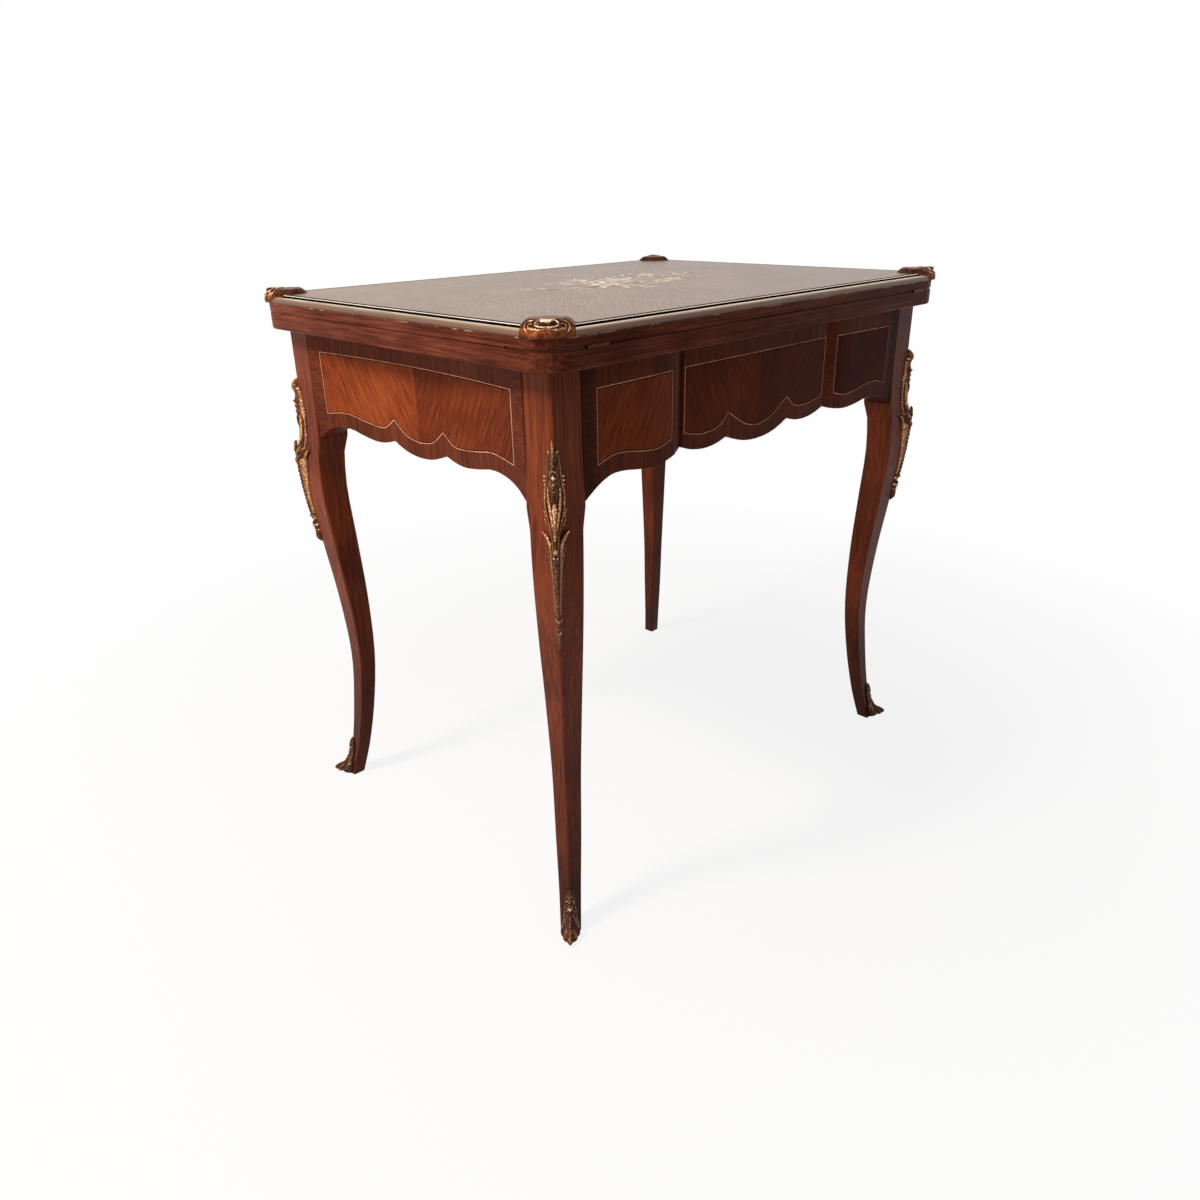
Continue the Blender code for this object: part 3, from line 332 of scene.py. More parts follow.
def wear_and_light_patches(material, colour, where, size, share):
    """Mixes a colour in patches of a size over a share of the mask: wear, painted highlight,
    painted shade.
    """
    tree = material.node_tree
    spot = add_node(tree, "TexCoord").outputs
    patches = add_node(tree, "TexNoise", {"Scale": 1 / size, "Detail": 3.0},
                       {"Vector": spot["Object"]})
    patch_share = remap(tree, patches.outputs[0], 0.5 - share, 0.56 - share, 0.0, 1.0)
    mask = maths(tree, "MULTIPLY", patch_share, where(tree, spot["Object"], spot["Normal"]))
    mixed = add_node(tree, "Mix", {"data_type": "RGBA", 7: linear(colour)},
                     {0: mask, 6: base_colour(material)})
    set_finish(material, links={"Base Color": mixed.outputs[2]})


# Where the step is and how high, as middle and half, and how far a face must look sideways
BREAK_PLACE, BREAK_HEIGHT, SIDEWAYS = (-0.168, 0.007), (0.646, 0.046), -0.45


def lit_return_at_break(tree, place, facing):
    """The narrow return where the long apron's middle part steps back beside its left panel, facing
    the light.
    """
    x, y, z = split(tree, place)
    strip = maths(tree, "MULTIPLY", near(tree, x, *BREAK_PLACE), near(tree, z, *BREAK_HEIGHT))
    side_face = maths(tree, "LESS_THAN", split(tree, facing)["X"], SIDEWAYS)
    front_half = maths(tree, "LESS_THAN", y, 0.0)
    return maths(tree, "MULTIPLY", strip, maths(tree, "MULTIPLY", side_face, front_half))


# The return is painted pale: a painted highlight where the light from the left glances off it
wear_and_light_patches(long_banding, "#8E7868", lit_return_at_break, size=0.006, share=0.10)
# Painted shade: the banding darkens beside the legs, in the corner between leg and apron
shaded(long_banding, "X", start=0.298, end=0.318, first=1.0, last=0.42)
dress(["apron_left", "apron_right"], short_banding)
dress(["apron_front", "apron_back"], long_banding)


MERGED_WITHIN = 0.000001
SHARP_ANGLE = math.radians(42)


def add_piece(name, bm, material, body, smooth=True):
    """Makes a finished mesh a piece of the scene that rides on a body."""
    bmesh.ops.remove_doubles(bm, verts=bm.verts, dist=MERGED_WITHIN)
    bmesh.ops.recalc_face_normals(bm, faces=bm.faces)
    mesh = bpy.data.meshes.new(name)
    bm.to_mesh(mesh)
    bm.free()
    mesh.materials.append(material)
    if smooth:
        mesh.shade_smooth()
        mesh.set_sharp_from_angle(angle=SHARP_ANGLE)
    piece = bpy.data.objects.new(name, mesh)
    bpy.context.scene.collection.objects.link(piece)
    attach(piece, body)
    return piece


def surface_of(name):
    """A search tree of a CAD node's faces."""
    mesh = nodes[name].data
    return BVHTree.FromPolygons([v.co for v in mesh.vertices], [p.vertices for p in mesh.polygons])


def curve_value(points, place):
    """The height of a smooth line through the points, at a place along it."""
    for i in range(len(points) - 1):
        if place <= points[i + 1][0] or i == len(points) - 2:
            break
    (xa, ya), (xb, yb) = points[i], points[i + 1]
    (xp, yp), (xn, yn) = points[max(i - 1, 0)], points[min(i + 2, len(points) - 1)]
    slope_a, slope_b, span = (yb - yp) / (xb - xp), (yn - ya) / (xn - xa), xb - xa
    t = min(max((place - xa) / span, 0), 1)
    return (ya * (2 * t ** 3 - 3 * t ** 2 + 1) + yb * (3 * t ** 2 - 2 * t ** 3)
            + span * slope_a * (t ** 3 - 2 * t ** 2 + t) + span * slope_b * (t ** 3 - t ** 2))


# Lower lines of the panels in millimetres from the apron's middle: each run ends at a cusp
LOWER_LINE_STEP = 4
short_runs = (((0, 602), (28, 607), (52, 623.5)),
              ((52, 623.5), (73, 610.5), (95, 610), (120, 613), (155, 617.8), (196, 613)))
centre_runs = (((0, 601), (27, 607), (64, 628)),
               ((64, 628), (82, 613.6), (112, 610), (132, 612.5), (149, 617)))
side_run = ((176.6, 615.5), (200, 610), (225, 611.5), (259.5, 617.4), (283, 618), (305, 612))


def lower_line(runs, both_halves):
    """Points along a panel's lower line, from end to end."""
    line = []
    for run in runs:
        steps = max(6, round((run[-1][0] - run[0][0]) / LOWER_LINE_STEP))
        for i in range(steps + 1):
            x = run[0][0] + (run[-1][0] - run[0][0]) * i / steps
            line.append((x / 1000, curve_value(run, x) / 1000))
    line = [p for p, q in zip(line, line[1:]) if q[0] - p[0] > 1e-6] + [line[-1]]
    if both_halves:
        line = [(-x, z) for x, z in reversed(line[1:])] + line
    return line


def seated(surface, outward, point, proud, reach):
    """The point moved to a surface, sought from a reach outside it, and a little proud of it."""
    hit = surface.ray_cast(point + outward * reach, -outward)[0]
    return (hit if hit is not None else point) + outward * proud


def thicken(bm, depth):
    """Gives an open skin its thickness and closes it."""
    copied = bmesh.ops.extrude_face_region(bm, geom=bm.faces[:], use_keep_orig=True)["geom"]
    verts = [g for g in copied if isinstance(g, bmesh.types.BMVert)]
    bmesh.ops.translate(bm, verts=verts, vec=depth)


PANEL_TOP = 0.6935
PANEL_INSET = 0.0011
PANEL_ROWS = 4
VENEER_THICK, VENEER_PROUD = 0.0003, 0.00008
OUTSIDE_TABLE = 0.5
MATCHED_LEAF_APART = 3.0


def apron_panel(name, surface, along, outward, line, lean_angle, match_and_shade_tones):
    """The veneer inside the boxwood line; its UV map runs across and up the leaning grain."""
    bm = bmesh.new()
    uv = bm.loops.layers.uv.new("UVMap")
    tone = bm.faces.layers.float.new("tone")
    bmesh.ops.create_grid(bm, x_segments=len(line) - 1, y_segments=PANEL_ROWS, size=1.0)
    across = {}
    for vert in bm.verts:
        column = round((vert.co.x + 1) / 2 * (len(line) - 1))
        share = (vert.co.y + 1) / 2
        x, low = line[column]
        x = min(max(x, line[0][0] + PANEL_INSET), line[-1][0] - PANEL_INSET)
        z = low + PANEL_INSET + (PANEL_TOP - low - 2 * PANEL_INSET) * share
        across[vert] = (x, z)
        point = along * x + Vector((0, 0, z))
        vert.co = seated(surface, outward, point, VENEER_PROUD, OUTSIDE_TABLE)
    turn = math.radians(lean_angle)
    bookmatched = line[0][0] < 0 < line[-1][0]
    for face in bm.faces:
        middle = sum(across[loop.vert][0] for loop in face.loops)
        face[tone] = match_and_shade_tones[middle > 0 or not bookmatched]
        for loop in face.loops:
            x, z = across[loop.vert]
            if bookmatched and middle < 0:
                x = -x
            apart = MATCHED_LEAF_APART * (middle < 0)
            loop[uv].uv = (z * math.cos(turn) - x * math.sin(turn) + apart,
                           x * math.cos(turn) + z * math.sin(turn))
    thicken(bm, outward * -VENEER_THICK)
    add_piece(name, bm, panel_veneer, "frame")


BOXWOOD_SIDES = (0.0001, 0.0011)
BLACK_SIDES = (-0.0010, 0.0001)
STRING_THICK, STRING_PROUD = 0.0004, 0.00016
STRING_STEP = 0.008
SHARPEST_MITRE = 0.45


def inlaid_line(name, surface, along, outward, line, string_sides, material):
    """A thin string round a panel, mitred at its corners and a hair proud of the veneer.

    Its sides lie at two distances outside the panel's line.
    """
    near_side, far_side = string_sides
    loop = []
    top_run = [(line[-1][0], PANEL_TOP), (line[0][0], PANEL_TOP), line[0]]
    for ahead in list(line) + top_run:
        # Long runs are cut short, so that the line can follow the hollow of the apron
        behind = loop[-1] if loop else ahead
        steps = max(1, round((Vector(ahead) - Vector(behind)).length / STRING_STEP))
        loop += [tuple(Vector(behind).lerp(Vector(ahead), i / steps)) for i in range(1, steps + 1)]
    loop = loop[:-1]
    bm = bmesh.new()
    ring = bmesh.ops.create_circle(bm, cap_ends=False, segments=len(loop), radius=1.0)["verts"]
    inner, outer = [], []
    for i, (x, z) in enumerate(loop):
        before, after = Vector(loop[i - 1]), Vector(loop[(i + 1) % len(loop)])
        a, b = (Vector((x, z)) - before).normalized(), (after - Vector((x, z))).normalized()
        normal = Vector((a.y + b.y, -a.x - b.x)).normalized()
        mitre = 1 / max(normal.dot(Vector((a.y, -a.x))), SHARPEST_MITRE)
        inner.append((x + normal.x * near_side * mitre, z + normal.y * near_side * mitre))
        outer.append((x + normal.x * far_side * mitre, z + normal.y * far_side * mitre))
    places = {vert: inner[i] for i, vert in enumerate(ring)}
    grown = bmesh.ops.extrude_edge_only(bm, edges=bm.edges[:])["geom"]
    old = {tuple(vert.co): i for i, vert in enumerate(ring)}
    for vert in [g for g in grown if isinstance(g, bmesh.types.BMVert)]:
        places[vert] = outer[old[tuple(vert.co)]]
    for vert, (x, z) in places.items():
        point = along * x + Vector((0, 0, z))
        vert.co = seated(surface, outward, point, STRING_PROUD, OUTSIDE_TABLE)
    thicken(bm, outward * -STRING_THICK)
    add_piece(name, bm, material, "frame")


panel_veneer = polished_wood("bookmatched_panel_veneer", ("#572412", "#7F391B", "#994B28"), "UV",
                             pore=0.0009, stripe=0.0030, shine=0.02)
boxwood = polished_wood("boxwood_string", ("#A86A50", "#CC8C6E", "#E2AE8E"), "Z",
                        pore=0.0006, stripe=0.01, depth=0.4)
black_string_and_shade_line = polished_wood("blackened_string_and_shade_line", ("#140A07", "#1C0F0B", "#261611"), "Z",
                           pore=0.0006, depth=0.3, shine=0.0)
# Along each side from its left end to its right end, and outwards from it
directions = {"front": (Vector((1, 0, 0)), Vector((0, -1, 0))),
              "right": (Vector((0, 1, 0)), Vector((1, 0, 0))),
              "back": (Vector((-1, 0, 0)), Vector((0, 1, 0))),
              "left": (Vector((0, -1, 0)), Vector((-1, 0, 0)))}
for side in sides:
    along, outward = directions[side]
    surface = surface_of("apron_" + side)
    # The tones of each panel's two halves: the bookmatch, and on the long sides painted shade that
    # deepens towards the right
    if side in ("front", "back"):
        left_line = [(-x, z) for x, z in reversed(lower_line((side_run,), False))]
        panels = (("left", left_line, 62, (0.1, 0.1)),
                  ("middle", lower_line(centre_runs, True), 62, (0.6, 0.75)),
                  ("right", lower_line((side_run,), False), 97, (0.86, 0.86)))
    else:
        panels = (("middle", lower_line(short_runs, True), 60, (0.0, 0.42)),)
    for part, line, lean_angle, match_and_shade_tones in panels:
        label = side + "_" + part
        apron_panel("veneer_panel_" + label, surface, along, outward, line, lean_angle, match_and_shade_tones)
        inlaid_line("boxwood_line_" + label, surface, along, outward, line, BOXWOOD_SIDES, boxwood)
        # A near-black string inside each boxwood line, which also paints the thin shade line beside
        # it
        inlaid_line("black_string_and_shade_line_" + label, surface, along, outward, line, BLACK_SIDES, black_string_and_shade_line)


# The knee and foot mounts: gilt bronze, cast in relief to sit astride the arris of the leg, chased
# and gilt. The gilding is bright on the high places, rubbed and with painted highlight, and brown
# in the recesses, with patina and painted shade.
WARM_SHEEN = "#D8A880"


def metal(name, shades, roughness, recess=0.0, grain=180.0, patina=None, stretch=(1, 1, 1)):
    """Cast or drawn brass in dark, middle and light shades, with painted shade darkening its
    recesses.

    A patina colour covers it where its wear and highlight attribute is low, and it is bright where
    that is high, as rubbed gilding and painted highlight.
    """
    material, tree = new_finish(name, {"Metallic": 1.0})
    place = add_node(tree, "TexCoord").outputs["Object"]
    place = add_node(tree, "Mapping", {"Scale": stretch}, {"Vector": place}).outputs[0]
    cloud = add_node(tree, "TexNoise", {"Scale": grain, "Detail": 4.0, "Roughness": 0.65},
                     {"Vector": place}).outputs[0]
    dark, middle, light = shades
    if patina:
        worn = add_node(tree, "Attribute", {"attribute_name": "worn"}).outputs["Fac"]
        uneven = maths(tree, "MULTIPLY_ADD", cloud, 2.8, -1.4)
        bright = maths(tree, "MULTIPLY", maths(tree, "ADD", worn, uneven), 0.6667)
        ramp = ((0.06, patina), (0.95, light), (0.26, dark), (0.55, middle))
        colour = add_node(tree, "ValToRGB", {"ramp": ramp}, {0: bright}).outputs[0]
        set_finish(material, {"Specular IOR Level": 0.12, "Specular Tint": linear(WARM_SHEEN)},
                   {"Metallic": remap(tree, bright, 0.0, 0.9, 0.15, 0.75)})
    else:
        ramp = ((0.30, dark), (0.72, light), (0.5, middle))
        colour = add_node(tree, "ValToRGB", {"ramp": ramp}, {0: cloud}).outputs[0]
    if recess:
        # Painted shade: ambient occlusion darkens the colour in the recesses
        painted_recess_shade = add_node(tree, "AmbientOcclusion", {"samples": 8, "Distance": recess})
        darker = remap(tree, painted_recess_shade.outputs["AO"], 0.25, 0.85, 0.10, 1.15)
        colour = multiplied(tree, colour, darker)
    bump = add_node(tree, "Bump", {"Strength": 0.8 if patina else 0.25, "Distance": 0.0004},
                    {"Height": cloud})
    rough = remap(tree, cloud, 0.0, 1.0, roughness + 0.16, roughness - 0.06)
    set_finish(material, links={"Base Color": colour, "Roughness": rough,
                                "Normal": bump.outputs[0]})
    return material


gilt_bronze = metal("chased_gilt_bronze", ("#68422A", "#A8734A", "#F6E2C4"), 0.28,
                    recess=0.0030, grain=420.0, patina="#34211A")
top_low, top_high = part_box("upper_leaf")
# The leg's outer corner is eased, and the casting is fitted to where the two faces would meet
CORNER_EASE, NEAR_DIAGONAL, OUTER_PART = 0.0018, 0.0022, 0.045
arris = {}
for vertex in nodes["leg_front_left"].data.vertices:
    height = round(vertex.co.z, 4)
    in_x, in_y = vertex.co.x - top_low.x, vertex.co.y - top_low.y
    if abs(in_x - in_y) < NEAR_DIAGONAL and in_x < OUTER_PART:
        arris[height] = min((in_x + in_y - CORNER_EASE) / 2, arris.get(height, 1.0))
arris_heights = sorted(arris)


def arris_inset(height):
    """How far the leg's outer arris lies in from the top's edges at a height."""
    height = min(max(height, arris_heights[0]), arris_heights[-1])
    above = next(h for h in arris_heights if h >= height)
    below = max([h for h in arris_heights if h <= height])
    share = 0 if above == below else (height - below) / (above - below)
    return arris[below] * (1 - share) + arris[above] * share


BEND = 0.003
DIAGONAL = 0.7071


def astride_arris(vert):
    """Bends a flat casting, with X across and -Y outwards, round the arris of the near leg."""
    across, proud, height = vert.co.x, -vert.co.y, vert.co.z
    quarter = BEND * math.pi / 4
    turn = max(min(across, quarter), -quarter) / BEND
    flat = across - turn * BEND
    # The outward direction turns from one face of the leg to the other
    angle = math.pi / 4 + turn
    out_x, out_y = -math.cos(angle), -math.sin(angle)
    inset = arris_inset(height) + BEND - proud * DIAGONAL
    x, y = inset + out_x * BEND, inset + out_y * BEND
    if flat > 0:
        x += flat
    else:
        y -= flat
    vert.co = (top_low.x + x, top_low.y + y, height)


def smooth_keys(keys, steps):
    """A smooth run through keys of equal length."""
    run = []
    for i in range(len(keys) - 1):
        a, b = keys[i], keys[i + 1]
        before, after = keys[max(i - 1, 0)], keys[min(i + 2, len(keys) - 1)]
        for k in range(steps):
            t = k / steps
            run.append([0.5 * (2 * q + (r - p) * t + (2 * p - 5 * q + 4 * r - s) * t * t
                               + (3 * q - p - 3 * r + s) * t ** 3)
                        for p, q, r, s in zip(before, a, b, after)])
    return run + [list(keys[-1])]


THINNEST, DEEPEST_BACK = 0.05, 1.5


def cast_form(bm, keys, steps=5, section=10, gilt=1.0):
    """An oval section led through keys of across, height, proud, width and relief in mm.

    Its outer side is bright as far as gilt says, as rubbed gilding and as painted highlight.
    """
    run = smooth_keys(keys, steps)
    worn = bm.verts.layers.float["worn"]
    ring = {vert: (vert.co.x, vert.co.y) for vert in
            bmesh.ops.create_circle(bm, cap_ends=False, segments=section, radius=1.0)["verts"]}
    ends = []
    for i, (across, height, proud, width, relief) in enumerate(run):
        ahead, behind = run[min(i + 1, len(run) - 1)], run[max(i - 1, 0)]
        way = Vector((ahead[0] - behind[0], 0, ahead[1] - behind[1]))
        way = way.normalized() if way.length > 1e-6 else Vector((0, 0, 1))
        sideways = Vector((way.z, 0, -way.x))
        centre = Vector((across, -proud, height))
        if i:
            grown = bmesh.ops.extrude_edge_only(bm, edges=ring_edges)["geom"]
            source = {tuple(vert.co): shape for vert, shape in ring.items()}
            ring = {g: source[tuple(g.co)] for g in grown if isinstance(g, bmesh.types.BMVert)}
        ring_edges = list(dict.fromkeys(edge for vert in ring for edge in vert.link_edges
                                        if edge.other_vert(vert) in ring))
        for vert, (u, v) in ring.items():
            # The back of the form is only as deep as it takes to close it
            depth = max(relief, THINNEST)
            if v <= 0:
                depth = min(depth, DEEPEST_BACK)
            reach = sideways * u * max(width, THINNEST) + Vector((0, -v * depth, 0))
            vert.co = (centre + reach) / 1000
            vert[worn] = gilt * max(v, 0)
        if i in (0, len(run) - 1):
            ends.append(ring_edges)
    for loop in ends:
        bmesh.ops.edgeloop_fill(bm, edges=loop)


def cast_ball(bm, across, height, proud, size, squash=(1, 1, 1), gilt=1.0):
    """A bead or boss, in mm; its outer side is bright as far as gilt says, rubbed and painted as a
    glint.
    """
    scale = Matrix.Diagonal((*(size * way / 1000 for way in squash), 1))
    place = Matrix.Translation(Vector((across, -proud, height)) / 1000)
    ball = bmesh.ops.create_uvsphere(bm, u_segments=14, v_segments=9, radius=1,
                                     matrix=place @ scale)["verts"]
    worn = bm.verts.layers.float["worn"]
    for vert in ball:
        vert[worn] = gilt * max((-vert.co.y * 1000 - proud) / size / squash[1], 0)


def mirrored(keys):
    """The same keys on both sides of the casting's middle line."""
    return [[(-across, *rest) for across, *rest in keys], list(keys)]


def new_casting():
    """An empty casting, with an attribute for how bright each place is, as wear and painted
    highlight.
    """
    casting = bmesh.new()
    casting.verts.layers.float.new("worn")
    return casting


knee = new_casting()
# The hollow body stands well off the leg: height, how proud, and half its width, in mm
knee_body = ((411, 3.0, 0.6), (414, 6.0, 2.2), (418, 8.0, 2.7), (424, 7.4, 2.4), (429, 6.4, 1.6),
             (433, 7.2, 3.2), (437.5, 7.8, 3.8), (442, 5.2, 2.0), (446, 5.2, 2.0),
             (450.5, 7.4, 3.2), (456, 7.0, 2.4), (466, 7.4, 2.8), (481, 7.8, 4.0), (501, 8.8, 5.4),
             (515, 9.8, 6.6), (525, 11.2, 7.4), (533, 12.4, 7.6), (540, 12.4, 7.0),
             (548, 13.2, 6.6), (554, 11.4, 6.0), (560, 8.0, 6.4), (568, 5.0, 8.0), (577, 4.0, 10.8),
             (588, 4.6, 13.0), (600, 6.6, 12.0), (612, 7.0, 10.6), (622, 8.4, 9.4), (629, 6.4, 8.8),
             (636, 7.6, 7.4), (640, 5.6, 4.4), (643, 2.0, 1.0))
knob_stem = ((633, 6.0, 1.0), (637, 9.2, 1.7), (641, 10.4, 1.8), (646, 9.0, 1.7), (650, 5.6, 1.4),
             (652.5, 2.0, 0.7))
cast_form(knee, [(0, height, 0, wide, proud) for height, proud, wide in knee_body],
          steps=3, section=16, gilt=0.22)
cast_form(knee, [(0, height, 0, wide, proud) for height, proud, wide in knob_stem],
          section=12, gilt=0.75)
body_verts = set(knee.verts)
for gilt, keys in (
        # The outer and inner straps of the hood, which draw in to the waist
        (0.75, ((7.6, 636, 0.2, 1.0, 1.4), (9.4, 622, 0.2, 1.3, 1.6), (11.0, 608, 0.4, 1.5, 1.8),
                (14.0, 594, 0.8, 1.8, 2.2), (14.0, 582, 0.8, 1.8, 2.2), (11.6, 570, 0.6, 1.6, 2.0),
                (8.0, 560, 0.4, 1.3, 1.6), (6.2, 552, 0.2, 0.8, 1.0))),
        (0.95, ((8.4, 603, 0.0, 0.8, 0.8), (8.6, 594, 0.4, 2.0, 1.8), (7.2, 581, 0.4, 2.5, 2.0),
                (4.8, 569, 0.4, 2.2, 2.0), (2.0, 558, 0.2, 1.2, 1.4))),
        # The broad leaf that flares at the waist like a wing, and its tail beside the stem
        (0.80, ((21.0, 552.6, 3.0, 0.4, 0.8), (19.0, 551.2, 3.4, 1.6, 1.6),
                (15.6, 548.8, 3.0, 2.6, 2.2), (12.0, 545.0, 2.4, 3.2, 2.4),
                (9.2, 539.0, 1.8, 3.0, 2.4), (7.8, 530, 1.2, 2.6, 2.2), (7.0, 519, 0.8, 2.3, 2.0),
                (6.0, 506, 0.6, 1.9, 1.8), (4.8, 490, 0.5, 1.6, 1.6), (3.6, 470, 0.4, 1.2, 1.4),
                (2.6, 456, 0.4, 0.8, 1.0))),
        (0.50, ((13.4, 538, 0.8, 0.3, 0.6), (12.4, 533, 1.0, 1.1, 1.6), (10.6, 524, 0.8, 1.1, 1.6),
                (8.8, 515, 0.4, 0.6, 1.0))),
        # Small scrolls that flank the swell below the waist, and the shoulders under the knob
        (0.60, ((4.6, 557, 0.4, 0.5, 1.0), (4.6, 551, 0.4, 1.1, 1.6), (3.4, 545, 0.2, 1.2, 1.6),
                (4.0, 539, 0.2, 0.9, 1.4), (2.2, 534, 0.0, 0.5, 1.0))),
        (0.35, ((5.2, 638, 0.2, 0.5, 0.8), (6.2, 631, 0.2, 0.9, 1.2), (5.0, 623, 0.0, 0.6, 1.0))),
        # Small leaf tips outside the straps
        (0.90, ((16.8, 577, 1.0, 0.3, 0.8), (15.4, 573.5, 1.2, 1.0, 1.6),
                (13.6, 568, 0.8, 0.7, 1.2))),
        (0.90, ((15.6, 567.5, 1.0, 0.3, 0.8), (13.6, 564, 1.2, 1.0, 1.6),
                (11.2, 559.5, 0.8, 0.7, 1.2))),
        # The leaflets of the bead clusters below the stem
        (0.95, ((0.2, 446, 0.0, 0.8, 1.2), (2.8, 447.5, 0.2, 1.2, 1.6), (5.0, 452, 0.6, 0.6, 1.2))),
        (1.10, ((0.2, 435.0, 0.0, 1.0, 1.6), (2.8, 436.5, 0.2, 1.2, 1.8),
                (4.8, 440, 0.6, 0.6, 1.2)))):
    for part in mirrored(keys):
        cast_form(knee, part, section=8, gilt=gilt)
for gilt, keys in (
        # The niche's canopy, and its ledge
        (0.8, ((-5.0, 615.5, 0.0, 0.5, 0.8), (-3.2, 619.5, 0.0, 0.9, 1.6),
               (0, 621.5, 0.2, 1.0, 2.0), (3.2, 619.5, 0.0, 0.9, 1.6),
               (5.0, 615.5, 0.0, 0.5, 0.8))),
        (0.6, ((-3.0, 600.2, 0.0, 0.4, 0.6), (0, 598.8, 0.0, 0.9, 1.2),
               (3.0, 600.2, 0.0, 0.4, 0.6))),
        # The ground between the straps, and the leaf that curls out at the waist
        (1.0, ((0, 586, 0, 1.0, 0.4), (0, 578, 0, 5.0, 0.7), (0, 568, 0, 3.4, 0.7),
               (0, 558, 0, 1.0, 0.5))),
        (0.7, ((0, 549, 0.0, 1.6, 1.2), (0, 554.5, 1.2, 2.4, 1.8), (0, 559.0, 3.4, 2.8, 2.0),
               (0, 562.4, 4.6, 2.8, 1.8), (0, 564.6, 4.8, 1.8, 1.0)))):
    cast_form(knee, keys, steps=4, section=8, gilt=gilt)
for across, height, proud, size, squash, gilt in (
        (6.1, 639, 1.0, 1.8, (1.4, 1, 1), 1.0), (0, 613.5, 0, 2.2, (1.4, 0.8, 1.0), 1.3),
        (0, 606.5, 0, 1.8, (1.4, 0.7, 0.9), 0.8), (0, 592.5, 0, 3.3, (1.0, 0.5, 2.0), 0.0),
        (0, 536, 0, 3.0, (1.3, 0.6, 1.2), 0.9), (2.6, 529, 0.4, 1.3, (1.3, 1, 1), 1.4),
        (13.6, 612, 1.2, 1.1, (1.3, 1, 1), 1.5), (14.0, 607.5, 1.2, 1.1, (1.3, 1, 1), 1.5),
        (13.8, 603, 1.2, 1.0, (1.3, 1, 1), 1.3), (0, 450.5, 0, 2.2, (1.6, 0.8, 1), 0.9),
        (0, 441, 0, 2.4, (1.5, 0.8, 1), 0.2), (0, 429, 0, 1.8, (1.8, 0.8, 0.7), 0.9)):
    for way in ((-1, 1) if across else (1,)):
        cast_ball(knee, way * across, height, proud, size, squash, gilt)
# A string of beads down the stem, each a little narrower than the last
STEM_BEADS, TOP_BEAD, BEAD_SPACING = 11, 519, 6
for k in range(STEM_BEADS):
    cast_ball(knee, 0, TOP_BEAD - BEAD_SPACING * k, 0, 1.3, (1.2 - 0.03 * k, 0.6, 1.7), 0.4)


def on_body(across, height):
    """How far the body stands proud at a place, in mm."""
    height = min(max(height, knee_body[0][0]), knee_body[-1][0])
    proud, wide = (curve_value([(key[0], key[i]) for key in knee_body], height) for i in (1, 2))
    return proud * math.sqrt(max(1 - (across / wide) ** 2, 0))


for vert in knee.verts:
    if vert not in body_verts:
        vert.co.y -= on_body(vert.co.x * 1000, vert.co.z * 1000) / 1000


def four_castings(flat, kind, bend, body):
    """Bends a flat casting on to the near corner, and fits it and its mirror images to all four."""
    for vert in flat.verts:
        bend(vert)
    pieces = {}
    for place, (sx, sy) in corners.items():
        bm = flat.copy()
        bmesh.ops.transform(bm, matrix=Matrix.Diagonal((-sx, -sy, 1, 1)), verts=bm.verts)
        pieces[place] = add_piece(kind + "_" + place, bm, gilt_bronze, body)
    flat.free()
    return pieces


for place, piece in four_castings(knee, "knee_casting", astride_arris, "frame").items():
    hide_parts("knee_mount_" + place)

# The foot mounts: the cast bodies of the model, with the leaf, scrolls, beads and gadroons that are
# chased on them. The casting is pinned to the foot and rolls forward into the toe.
foot_bronze = metal("browned_foot_bronze", ("#24140E", "#331E16", "#482D22"), 0.42,
                    recess=0.0030, grain=220.0)
set_finish(foot_bronze, {"Metallic": 0.3, "Specular IOR Level": 0.15})
dress(["sabot_" + place for place in corners], foot_bronze)
sabot_surface = surface_of("sabot_front_left")
OFF_FLOOR, FOOT_ROUND, OUTSIDE_FOOT = 0.0016, 0.012, 0.05


def on_sabot(vert):
    """Lays a flat form on the near foot mount."""
    across, proud = vert.co.x, -vert.co.y
    vert.co.y, vert.co.z = 0.0, max(vert.co.z, OFF_FLOOR)
    astride_arris(vert)
    angle = math.pi / 4 + max(min(across / FOOT_ROUND, math.pi / 4), -math.pi / 4)
    outward = Vector((-math.cos(angle), -math.sin(angle), 0))
    vert.co = seated(sabot_surface, outward, vert.co, proud, OUTSIDE_FOOT)


